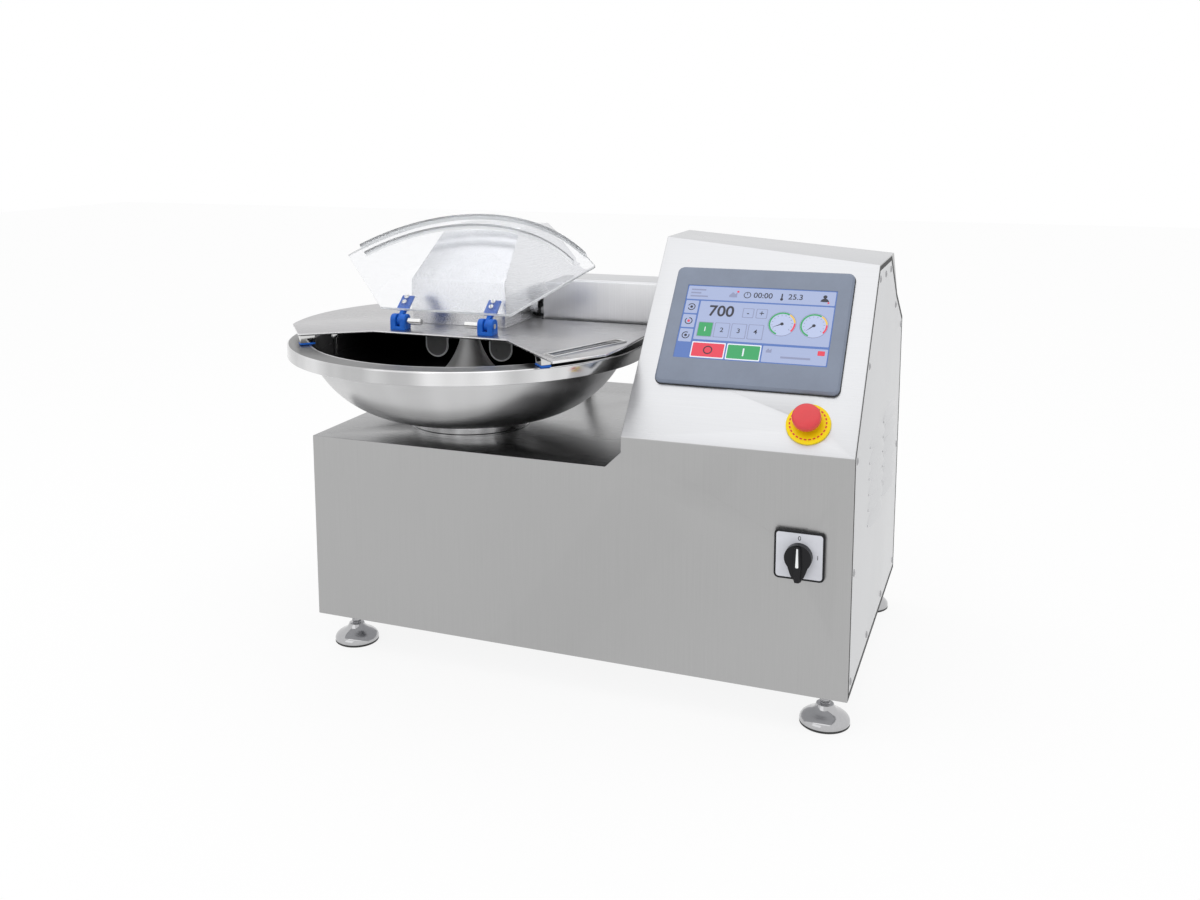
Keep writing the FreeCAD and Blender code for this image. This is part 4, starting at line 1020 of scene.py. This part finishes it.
@dataclass
class BowlSet:
    """The turning bowl, and the boss that its spindle stands in."""

    radius: float = 298.0
    arc: float = 171.0
    arc_out: float = 103.0
    arc_mid: float = 493.0
    boss: float = 100.0

    def outline(self) -> list[Point]:
        """Give the bowl's section as radius and height, all the way round."""
        rim, out = PLAN.rim, PLAN.shaft_off
        inner = self.radius - 6
        wall = math.degrees(math.asin((rim - 6 - self.arc_mid) / self.arc))
        section = bend(self.radius - 2.5, rim - 2.5, 2.5, 90, 0, 5)
        section += bend(self.radius - 1.2, rim - 19.8, 1.2, 0, -90, 4)
        section += [(inner + 0.6, rim - 21), (inner, rim - 20.4), (inner, rim - 7.5), (inner - 1.5, rim - 6)]
        section += bend(self.arc_out, self.arc_mid, self.arc, wall, -90, 44)
        section += [(80, 322), (31, 322), (30, 324), (30, 400), (20.05, 400), (20.05, 425), (10.05, 425),
                    (10.05, rim), (14.6, rim)]
        start = 180 + math.degrees(math.asin((PLAN.shaft_z - rim) / PLAN.trough))
        section += bend(out, PLAN.shaft_z, PLAN.trough, start, 540 - start, 72)
        return section + [(262.6, rim - 0.1)]

    def build(self) -> None:
        """Build the bowl and the boss."""
        bowl = Shop.lathe("bowl_look", self.outline(), Place.upright(PLAN.bowl_x, PLAN.bowl_y, 0), 192, True)
        Shop.finish(bowl, "bowl", "bowl_steel", ["bowl", "bowl_hub"])
        bowl.data.materials.append(PAINT.get("rim_steel"))
        axis = spot(PLAN.bowl_x, PLAN.bowl_y, 0)
        for face in bowl.data.polygons:
            face.material_index = int((face.center - axis).to_2d().length > (self.radius - 5) * MM)
        deck = PLAN.deck
        ring = [(35, deck + 0.05), (self.boss, deck + 0.05), (self.boss, deck + 3.0),
                (self.boss - 1.4, deck + 4.4), (self.boss - 1.4, deck + 12.6)]
        ring += bend(self.boss - 4.4, deck + 12.9, 3.0, 0, 90, 6) + [(35, deck + 15.95)]
        made = Shop.lathe("spindle_housing_look", ring, Place.upright(PLAN.bowl_x, PLAN.bowl_y, 0), 160, True)
        Shop.finish(made, "spindle_housing", "rim_steel", ["spindle_housing"])


@dataclass
class Drive:
    """The pulleys and motors inside the housing."""

    grooves: int = 6
    ribs: int = 40

    def pulley(self, node: str, bore: float) -> None:
        """Build a grooved pulley in place of a node."""
        low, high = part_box(node)
        place = Place.rightward(Vector((low.x, (low.y + high.y) / 2, (low.z + high.z) / 2)))
        out = (high.z - low.z) / 2 / MM
        wide = (high.x - low.x) / MM
        face = out - 5
        section = [(bore, 0.0), (out, 0.0), (out, 2.0), (face, 2.4)]
        step = (wide - 4.8) / self.grooves
        for i in range(self.grooves):
            at = 2.4 + i * step
            section += [(face, at + step * 0.2), (face - 2.2, at + step * 0.4), (face - 2.2, at + step * 0.6),
                        (face, at + step * 0.8)]
        section += [(face, wide - 2.4), (out, wide - 2.0), (out, wide), (bore, wide)]
        Shop.finish(Shop.lathe(node + "_look", section, place, 96, True), node, "cast_aluminium", [node])

    def motor(self, node: str, upright: bool) -> None:
        """Build a ribbed motor in place of a node."""
        low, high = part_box(node)
        middle = (low + high) / 2
        if upright:
            place = Place.at(Vector((middle.x, middle.y, low.z)))
            out, length = (high.x - low.x) / 2 / MM, (high.z - low.z) / MM
        else:
            place = Place.rightward(Vector((low.x, middle.y, middle.z)))
            out, length = (high.z - low.z) / 2 / MM, (high.x - low.x) / MM
        bore = 0.0 if upright else 14.4
        case = [(bore, 10.0 if bore else 0.0)] + ([(bore, 0.0)] if bore else [])
        case += [(out * 0.62, 0.0), (out * 0.9, 3.0), (out * 0.94, 8.0), (out * 0.9, 16.0),
                 (out * 0.9, length - 16.0), (out * 0.96, length - 12.0), (out * 0.96, length - 3.0),
                 (out * 0.88, length), (0.0, length)]
        if bore:
            case.append((0.0, 10.0))
        body = Shop.painted(Shop.lathe("motor_case", case, place, 96), "motor_paint")
        fin = [(-out * 0.06, -1.0), (out * 0.1, -0.7), (out * 0.1, 0.7), (-out * 0.06, 1.0)]
        rib = Shop.prism("motor_rib", fin, 18.0, length - 18.0, Matrix.Identity(4))
        ribs = RING.run("motor_ribs", [], place, Piece=rib, Count=self.ribs, Radius=out * 0.9, Start=0.0,
                        Step=math.tau / self.ribs, Paint=PAINT.get("motor_paint"))
        Shop.stand_in(node, [body, ribs])

    def build(self) -> None:
        """Build the pulleys and motors."""
        self.pulley("shaft_pulley", 18.0)
        self.pulley("motor_pulley", 14.0)
        self.motor("knife_motor", False)
        self.motor("bowl_motor", True)


@dataclass
class Flap:
    """The clear flap, the screws through its hinge leaves, and the hinge pins."""

    edge: float = 1.0
    head: float = 4.0
    rise: float = 1.5
    lip: float = 21.5
    front: float = 13.4
    sunk: float = 1.15
    pin: float = 4.0
    bar: float = 5.8

    def screw(self, place: Matrix) -> list[Part]:
        """Build a white slotted screw head."""
        head = self.head
        dome = [(0, 0), (head, 0), (head, 0.5), (head * 0.92, 0.95), (head * 0.7, 1.3), (0, self.rise)]
        slot = [(-head * 0.8, -0.45), (head * 0.8, -0.45), (head * 0.8, 0.45), (-head * 0.8, 0.45)]
        return [Shop.painted(Shop.lathe("leaf_screw", dome, place, 32), "white_print"),
                Shop.painted(Shop.prism("leaf_slot", slot, 0.9, self.rise, place), "black_moulding")]

    def build(self) -> None:
        """Build the flap, its screws and the pins."""
        angle = -math.radians(PLAN.flap_angle)
        turn = Matrix.Rotation(angle, 4, "X")
        hinge = Place.upright(PLAN.flap_x, PLAN.pin_y, PLAN.pin_z) @ turn
        sheet = Shop.softened("clear_flap", "clear_flap_look", self.edge * MM)
        back = hinge.inverted()
        for vert in sheet.data.vertices:
            local = back @ vert.co
            local.z = max(local.z, -self.lip)
            vert.co = hinge @ local
        Shop.finish(sheet, "clear_flap", "clear_sheet", ["clear_flap"])
        sheet.data.materials.append(PAINT.get("clear_edge"))
        facing = turn.to_3x3() @ Vector((0, 0, 1))
        for face in sheet.data.polygons:
            face.material_index = int(abs(face.normal.dot(facing)) < 0.5)
        screws = []
        for low, high in islands("flap_leaf_screws"):
            local = back @ ((low + high) / 2)
            spin = Matrix.Rotation(0.5 + local.x * 0.009, 4, "Z")
            behind = hinge @ Matrix.Translation((local.x, local.y, local.z - self.rise / 2)) @ spin
            before = hinge @ Matrix.Translation((local.x, local.y, self.sunk - self.front)) @ spin
            screws += self.screw(behind) + self.screw(before @ Matrix.Rotation(math.pi, 4, "X"))
        Shop.stand_in("flap_leaf_screws", screws)
        pins = []
        for low, high in islands("flap_hinge_pins"):
            middle = (low + high) / 2
            way = 1.0 if middle.x < spot(PLAN.flap_x, 0, 0).x else -1.0
            foot = Vector((low.x if way > 0 else high.x, middle.y, middle.z))
            place = Place.rightward(foot, way)
            rod = [(0, 0), (self.pin, 0), (self.pin, 26.5), (self.bar - 0.6, 26.5), (self.bar, 27.1),
                   (self.bar, 51.0), (self.bar - 1.0, 52.0), (0, 52.0)]
            pins.append(Shop.lathe("hinge_pin", rod, place, 48))
        Shop.stand_in("flap_hinge_pins", pins, "polished_steel")


@dataclass
class Screen:
    """The touch panel's picture, as thin tiles on the glass."""

    centre: Point = (693.0, 198.0)
    wide: float = 226.0
    tall: float = 128.0
    level: float = 8.0
    pieces: list[Part] = field(default_factory=list)

    def at(self, u: float, v: float) -> Point:
        """Turn shares of the screen, from its upper left, into slanted panel millimetres."""
        return (self.centre[0] + (u - 0.5) * self.wide, self.centre[1] + (0.5 - v) * self.tall)

    def tile(self, spans: tuple[float, float, float, float], paint: str, lift: float = 0.1,
             radius: float = 1.4) -> None:
        """Lay a rounded tile."""
        (x0, y1), (x1, y0) = self.at(*spans[:2]), self.at(*spans[2:])
        made = Shop.prism("tile", rounded(x0, y0, x1, y1, radius, 4), self.level - 0.2, self.level + lift,
                          Place.slant())
        self.pieces.append(Shop.painted(made, paint))

    def words(self, spot_at: Point, size: float, text: str, paint: str, lift: float = 0.2,
              bold: float = 0.1) -> None:
        """Write digits or signs."""
        x, y = self.at(*spot_at)
        place = Place.slant() @ Matrix.Translation((x, y, self.level + lift))
        self.pieces.append(Shop.painted(Shop.lettering("digits", text, size, place, 0.06, bold), paint))

    def shape(self, spot_at: Point, outline: Sequence[Point], paint: str, lift: float = 0.2) -> None:
        """Lay any flat shape, given about its own middle in millimetres."""
        x, y = self.at(*spot_at)
        made = Shop.prism("shape", [(x + a, y + b) for a, b in outline], self.level - 0.2, self.level + lift,
                          Place.slant())
        self.pieces.append(Shop.painted(made, paint))

    def gauge(self, spot_at: Point, radius: float, needle: float) -> None:
        """Draw a round gauge with a pale face, coloured arcs, ticks and a dark needle."""
        self.shape(spot_at, disc(radius, 60), "screen_key", 0.14)
        self.shape(spot_at, disc(radius * 0.95, 60), "screen_pale", 0.17)
        arcs = ((60, 250, "screen_green"), (8, 58, "screen_yellow"), (-40, 6, "screen_red"))
        for start, end, paint in arcs:
            self.shape(spot_at, sector(radius * 0.94, radius * 0.82, start, end, 16), paint, 0.2)
        x, y = self.at(*spot_at)
        place = Place.slant() @ Matrix.Translation((x, y, 0))
        tick = Shop.prism("tick", [(-1.0, -0.22), (1.0, -0.22), (1.0, 0.22), (-1.0, 0.22)], self.level,
                          self.level + 0.22, Matrix.Identity(4))
        ticks = RING.run("ticks", [], place, Piece=tick, Count=13, Radius=radius * 0.7,
                         Start=math.radians(-40), Step=math.radians(23), Paint=PAINT.get("screen_ink"))
        self.pieces.append(ticks)
        a = math.radians(needle)
        tip = (radius * 0.74 * math.cos(a), radius * 0.74 * math.sin(a))
        side = (-1.0 * math.sin(a), 1.0 * math.cos(a))
        self.shape(spot_at, [tip, side, (-side[0], -side[1])], "screen_ink", 0.26)
        self.shape(spot_at, disc(radius * 0.12), "screen_ink", 0.28)

    def build(self) -> None:
        """Build the whole picture."""
        self.tile((0.008, 0.015, 0.992, 0.20), "screen_lilac")
        for i, wide in enumerate((0.10, 0.07, 0.12)):
            self.tile((0.03, 0.055 + 0.045 * i, 0.03 + wide, 0.075 + 0.045 * i), "screen_key", 0.18, 0.4)
        self.shape((0.32, 0.11), [(-6, -5), (6, -5), (6, 4), (3, 1), (-1, 4), (-6, -2)], "screen_key")
        self.shape((0.35, 0.07), disc(1.8, 12), "screen_red", 0.28)
        self.shape((0.415, 0.11), disc(5.6), "screen_ink")
        self.shape((0.415, 0.11), disc(4.4), "screen_lilac", 0.26)
        self.shape((0.415, 0.095), rounded(-0.5, -2, 0.5, 2, 0.3, 2), "screen_ink", 0.3)
        self.words((0.52, 0.11), 13.0, "00:00", "screen_ink")
        self.shape((0.645, 0.11), rounded(-1.0, -5, 1.0, 5.5, 0.9, 3), "screen_ink")
        self.shape((0.645, 0.145), disc(2.2, 12), "screen_ink", 0.28)
        self.words((0.735, 0.11), 13.0, "25.3", "screen_ink")
        self.shape((0.925, 0.085), disc(3.0, 12), "screen_ink")
        self.shape((0.925, 0.155), sector(6.2, 0.4, 5, 175, 10), "screen_ink")
        self.shape((0.95, 0.165), disc(1.5, 12), "screen_red", 0.28)
        for i, top in enumerate((0.22, 0.415, 0.61)):
            self.tile((0.010, top, 0.098, top + 0.175), "screen_lilac")
            self.shape((0.054, top + 0.088), sector(6.0, 4.6, 200 - 70 * i, 520 - 70 * i, 24), "screen_ink")
            self.shape((0.054, top + 0.088), disc(2.2), "screen_red" if i == 1 else "screen_ink")
        self.tile((0.11, 0.22, 0.992, 0.745), "screen_lilac")
        self.words((0.262, 0.355), 26.0, "700", "screen_ink", bold=0.45)
        for left, sign in ((0.405, "-"), (0.495, "+")):
            self.tile((left, 0.29, left + 0.075, 0.42), "screen_key", 0.16)
            self.tile((left + 0.005, 0.298, left + 0.07, 0.412), "screen_lilac", 0.19)
            self.words((left + 0.037, 0.355), 13.0, sign, "screen_ink", 0.26)
        for i, left in enumerate((0.125, 0.237, 0.349, 0.461)):
            self.tile((left, 0.505, left + 0.102, 0.705), "screen_key", 0.16)
            key, sign = ("screen_lilac", "screen_ink") if i else ("screen_green", "screen_white")
            self.tile((left + 0.005, 0.513, left + 0.097, 0.697), key, 0.19)
            self.words((left + 0.051, 0.605), 11.0, str(i + 1), sign, 0.26)
        self.gauge((0.675, 0.475), 21.0, 205.0)
        self.gauge((0.880, 0.475), 21.0, 222.0)
        for left, right, paint in ((0.11, 0.335, "screen_red"), (0.345, 0.57, "screen_green")):
            self.tile((left, 0.775, right, 0.985), "screen_white", 0.12)
            self.tile((left + 0.007, 0.79, right - 0.007, 0.97), paint, 0.2)
        self.shape((0.2225, 0.88), sector(7.0, 5.2, 0, 359, 40), "screen_ink", 0.28)
        self.shape((0.4575, 0.88), rounded(-1.1, -6.5, 1.1, 6.5, 0.6, 3), "screen_white", 0.28)
        self.tile((0.58, 0.775, 0.992, 0.985), "screen_lilac")
        self.shape((0.62, 0.83), [(-4, -4), (4, -4), (4, 3), (1, 0), (-1, 3), (-4, -1)], "screen_key")
        self.tile((0.70, 0.90, 0.89, 0.925), "screen_key", 0.18, 0.4)
        self.tile((0.93, 0.80, 0.975, 0.86), "screen_red", 0.18, 0.6)
        Shop.finish(Shop.joined("hmi_picture", self.pieces), "hmi_display")


@dataclass
class Controls:
    """The stop button and the main switch."""

    stop: Point = (791.0, 46.0)
    ring: float = 31.0
    head: float = 20.0
    switch_x: float = 789.0
    switch_z: float = 206.0
    corner: float = 6.0
    border: float = 2.8
    marks: int = 26

    def stop_button(self) -> None:
        """Build the ring, the collar and the mushroom."""
        place = Place.slant() @ Matrix.Translation((*self.stop, 0.0))
        ring = [(11, 0.05), (self.ring, 0.05), (self.ring, 2.6), (self.ring - 1.6, 4.4),
                (self.ring - 3.0, 4.95), (18, 4.95), (16.5, 4.2), (11, 4.2)]
        plate = Shop.painted(Shop.lathe("stop_ring", ring, place, 96, True), "yellow_moulding")
        dash = Shop.prism("ring_dash", rounded(-1.1, -1.9, 1.1, 1.9, 0.4, 2), 4.7, 5.0, Matrix.Identity(4))
        dashes = RING.run("ring_dashes", [], place, Piece=dash, Count=self.marks, Radius=self.ring - 5.6,
                          Start=0.1, Step=math.tau / self.marks, Paint=PAINT.get("red_print"))
        Shop.stand_in("estop_ring", [plate, dashes])
        neck = [(6.4, -40), (11, -40), (11, 6.4), (10.2, 8), (6.4, 8)]
        Shop.finish(Shop.lathe("estop_body_look", neck, place, 64, True), "estop_body", "black_moulding",
                    ["estop_body"])
        cap = [(0, -20), (6, -20), (6, 14.5), (self.head * 0.72, 16), (self.head * 0.9, 16.2)]
        cap += bend(self.head - 2.6, 19.0, 2.6, -80, 0, 6) + [(self.head, 24.5)]
        cap += bend(self.head - 4.6, 24.6, 4.6, 0, 70, 8) + [(self.head * 0.55, 29.7), (0, 30)]
        made = Shop.lathe("estop_button_look", cap, place, 96)
        Shop.finish(made, "estop_button", "red_moulding", ["estop_button"])

    def switch(self) -> None:
        """Build the rotary switch and its marks."""
        place = Place.forward(self.switch_x, self.switch_z)
        stem = Shop.lathe("knob_stem", [(0, -1), (8, -1), (8, 6), (0, 6)], place, 48)
        drop = bend(0.0, 0.0, 18.9, -42, 222, 44)
        drop += [(-9.4, -19), (-6.6, -26), (-5.6, -32), (-4.6, -34.2), (-3, -35), (3, -35), (4.6, -34.2),
                 (5.6, -32), (6.6, -26), (9.4, -19)]
        body = Shop.prism("knob_body", drop, 5.5, 17.0, place, 2.4, 4)
        ridge = [(-3.6, -33.4), (-2.6, -34.2), (2.6, -34.2), (3.6, -33.4), (5.4, -14), (4.4, 15), (2.4, 17.4),
                 (-2.4, 17.4), (-4.4, 15), (-5.4, -14)]
        grip = Shop.prism("knob_grip", ridge, 8.0, 21.2, place, 2.0, 4)
        wedge = [(-2.1, -11), (-1.2, -12), (1.2, -12), (2.1, -11), (1.1, 15.4), (-1.1, 15.4)]
        line = Shop.prism("knob_line", wedge, 21.0, 21.48, place)
        pieces = [Shop.painted(piece, "black_moulding") for piece in (stem, body, grip)]
        pieces.append(Shop.painted(line, "white_print"))
        Shop.stand_in("switch_knob", pieces)
        low, high = (Vector(corner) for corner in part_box("switch_frame"))
        half = (high.x - low.x) / 2 / MM
        front = (MACHINE_ORIGIN.y - low.y) / MM
        square = rounded(-half, -half, half, half, self.corner)
        board = Shop.prism("board", square, 0.02, front, place, 0.8, 3)
        Shop.finish(board, "switch_frame", "black_moulding", ["switch_frame"])
        half -= self.border
        square = rounded(-half, -half, half, half, self.corner - 2.0)
        face = Shop.prism("face", square, 0.5, front + 0.35, place, 0.3)
        Shop.finish(face, "switch_plate", "pale_plate", ["switch_plate"])
        marks = []
        for x, y, text in ((0.0, 25.0, "0"), (25.5, 0.0, "1")):
            foot = place @ Matrix.Translation((x, y, front + 0.36))
            sign = Shop.lettering("switch_mark", text, 9.0, foot, 0.1)
            marks.append(Shop.painted(sign, "black_moulding"))
        Shop.finish(Shop.joined("switch_marks", marks), "switch_plate")

    def build(self) -> None:
        """Build both controls."""
        self.stop_button()
        self.switch()


@dataclass
class Studio:
    """The camera of the photograph, a pale floor and soft lights."""

    eye: tuple[float, float, float] = (1071.17, -1593.51, 799.31)
    yaw: float = 21.91
    pitch: float = 8.42
    roll: float = -0.30
    lens: float = 35.77
    shift: Point = (0.0346, -0.125)
    evenness: float = 0.85
    room: float = 0.88
    middle: Vector = field(default_factory=lambda: spot(430, 260, 250))

    def camera(self) -> None:
        """Set up the camera."""
        data = bpy.data.cameras.new("camera")
        data.sensor_width = 36.0
        data.lens = self.lens
        data.shift_x, data.shift_y = self.shift
        data.clip_start, data.clip_end = 0.05, 60.0
        yaw, pitch, roll = (math.radians(v) for v in (self.yaw, self.pitch, self.roll))
        ahead = Vector((-math.sin(yaw) * math.cos(pitch), math.cos(yaw) * math.cos(pitch), -math.sin(pitch)))
        right = Vector((math.cos(yaw), math.sin(yaw), 0.0))
        above = right.cross(ahead)
        across = right * math.cos(roll) + above * math.sin(roll)
        upward = above * math.cos(roll) - right * math.sin(roll)
        made = show("camera", data)
        turn = Matrix((across, upward, -ahead)).transposed().to_4x4()
        made.matrix_world = Matrix.Translation(spot(*self.eye)) @ turn
        bpy.context.scene.camera = made

    def lamp(self, name: str, where: tuple[float, float, float], size: Point, power: float) -> None:
        """Hang a soft light that points at the machine, at metres from its middle and with watts."""
        data = bpy.data.lights.new(name, "AREA")
        data.shape = "RECTANGLE"
        data.size, data.size_y = size
        data.energy = power
        made = show(name, data)
        made.location = self.middle + Vector(where)
        made.rotation_euler = (self.middle - made.location).to_track_quat("-Z", "Y").to_euler()

    def floor(self) -> None:
        """Lay the pale floor, which keeps the machine's shadow."""
        built = bmesh.new()
        bmesh.ops.create_grid(built, x_segments=2, y_segments=2, size=9.0)
        made = Shop.from_bmesh("floor", built)
        tree = ShaderTree("pale_floor")
        dust = tree.noise(tree.place(), 3.0, 2.0)
        tree.colour(tree.blend(dust, (0.97, 0.97, 0.97), (0.99, 0.99, 0.99)))
        tree.values(Roughness=0.7, Specular_IOR_Level=0.2)
        plain = tree.fed("ShaderNodeEmission", {"Strength": 1.0})
        amount = tree.maths("MULTIPLY", tree.seen(), self.evenness)
        mix = tree.fed("ShaderNodeMixShader", {0: amount, 1: tree.shader.outputs[0], 2: plain.outputs[0]})
        tree.join(mix.outputs[0], tree.output.inputs[0])
        made.data.materials.append(tree.material)

    def world(self) -> None:
        """Light the room: white where it is seen, and softer as a light."""
        world = bpy.data.worlds.new("studio")
        world.use_nodes = True
        nodes = Nodes(world.node_tree)
        soft, white = (nodes.fed("ShaderNodeBackground", {"Color": (1.0, 1.0, 1.0, 1.0), "Strength": strength})
                       for strength in (self.room, 1.0))
        mix = nodes.fed("ShaderNodeMixShader", {0: nodes.seen(), 1: soft.outputs[0], 2: white.outputs[0]})
        nodes.join(mix.outputs[0], nodes.node("ShaderNodeOutputWorld").inputs[0])
        bpy.context.scene.world = world

    def build(self) -> None:
        """Set up the studio."""
        bpy.context.scene.view_settings.view_transform = "Standard"
        self.camera()
        self.floor()
        self.world()
        self.lamp("roof", (0.0, -0.4, 2.4), (3.2, 2.6), 14.0)
        self.lamp("front", (-1.2, -3.0, 1.6), (2.4, 2.0), 7.0)


def main() -> None:
    """Build every piece and the studio."""
    logging.basicConfig(level=logging.INFO, format="%(name)s: %(message)s")
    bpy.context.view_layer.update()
    kinds = (Sheetwork, GripRim, Tongues, SidePanel, Feet, BowlSet, Drive, Flap, Screen, Controls, Studio)
    for kind in kinds:
        kind().build()
        LOG.info("%s is built", kind.__name__)


if __name__ == "__main__":
    main()
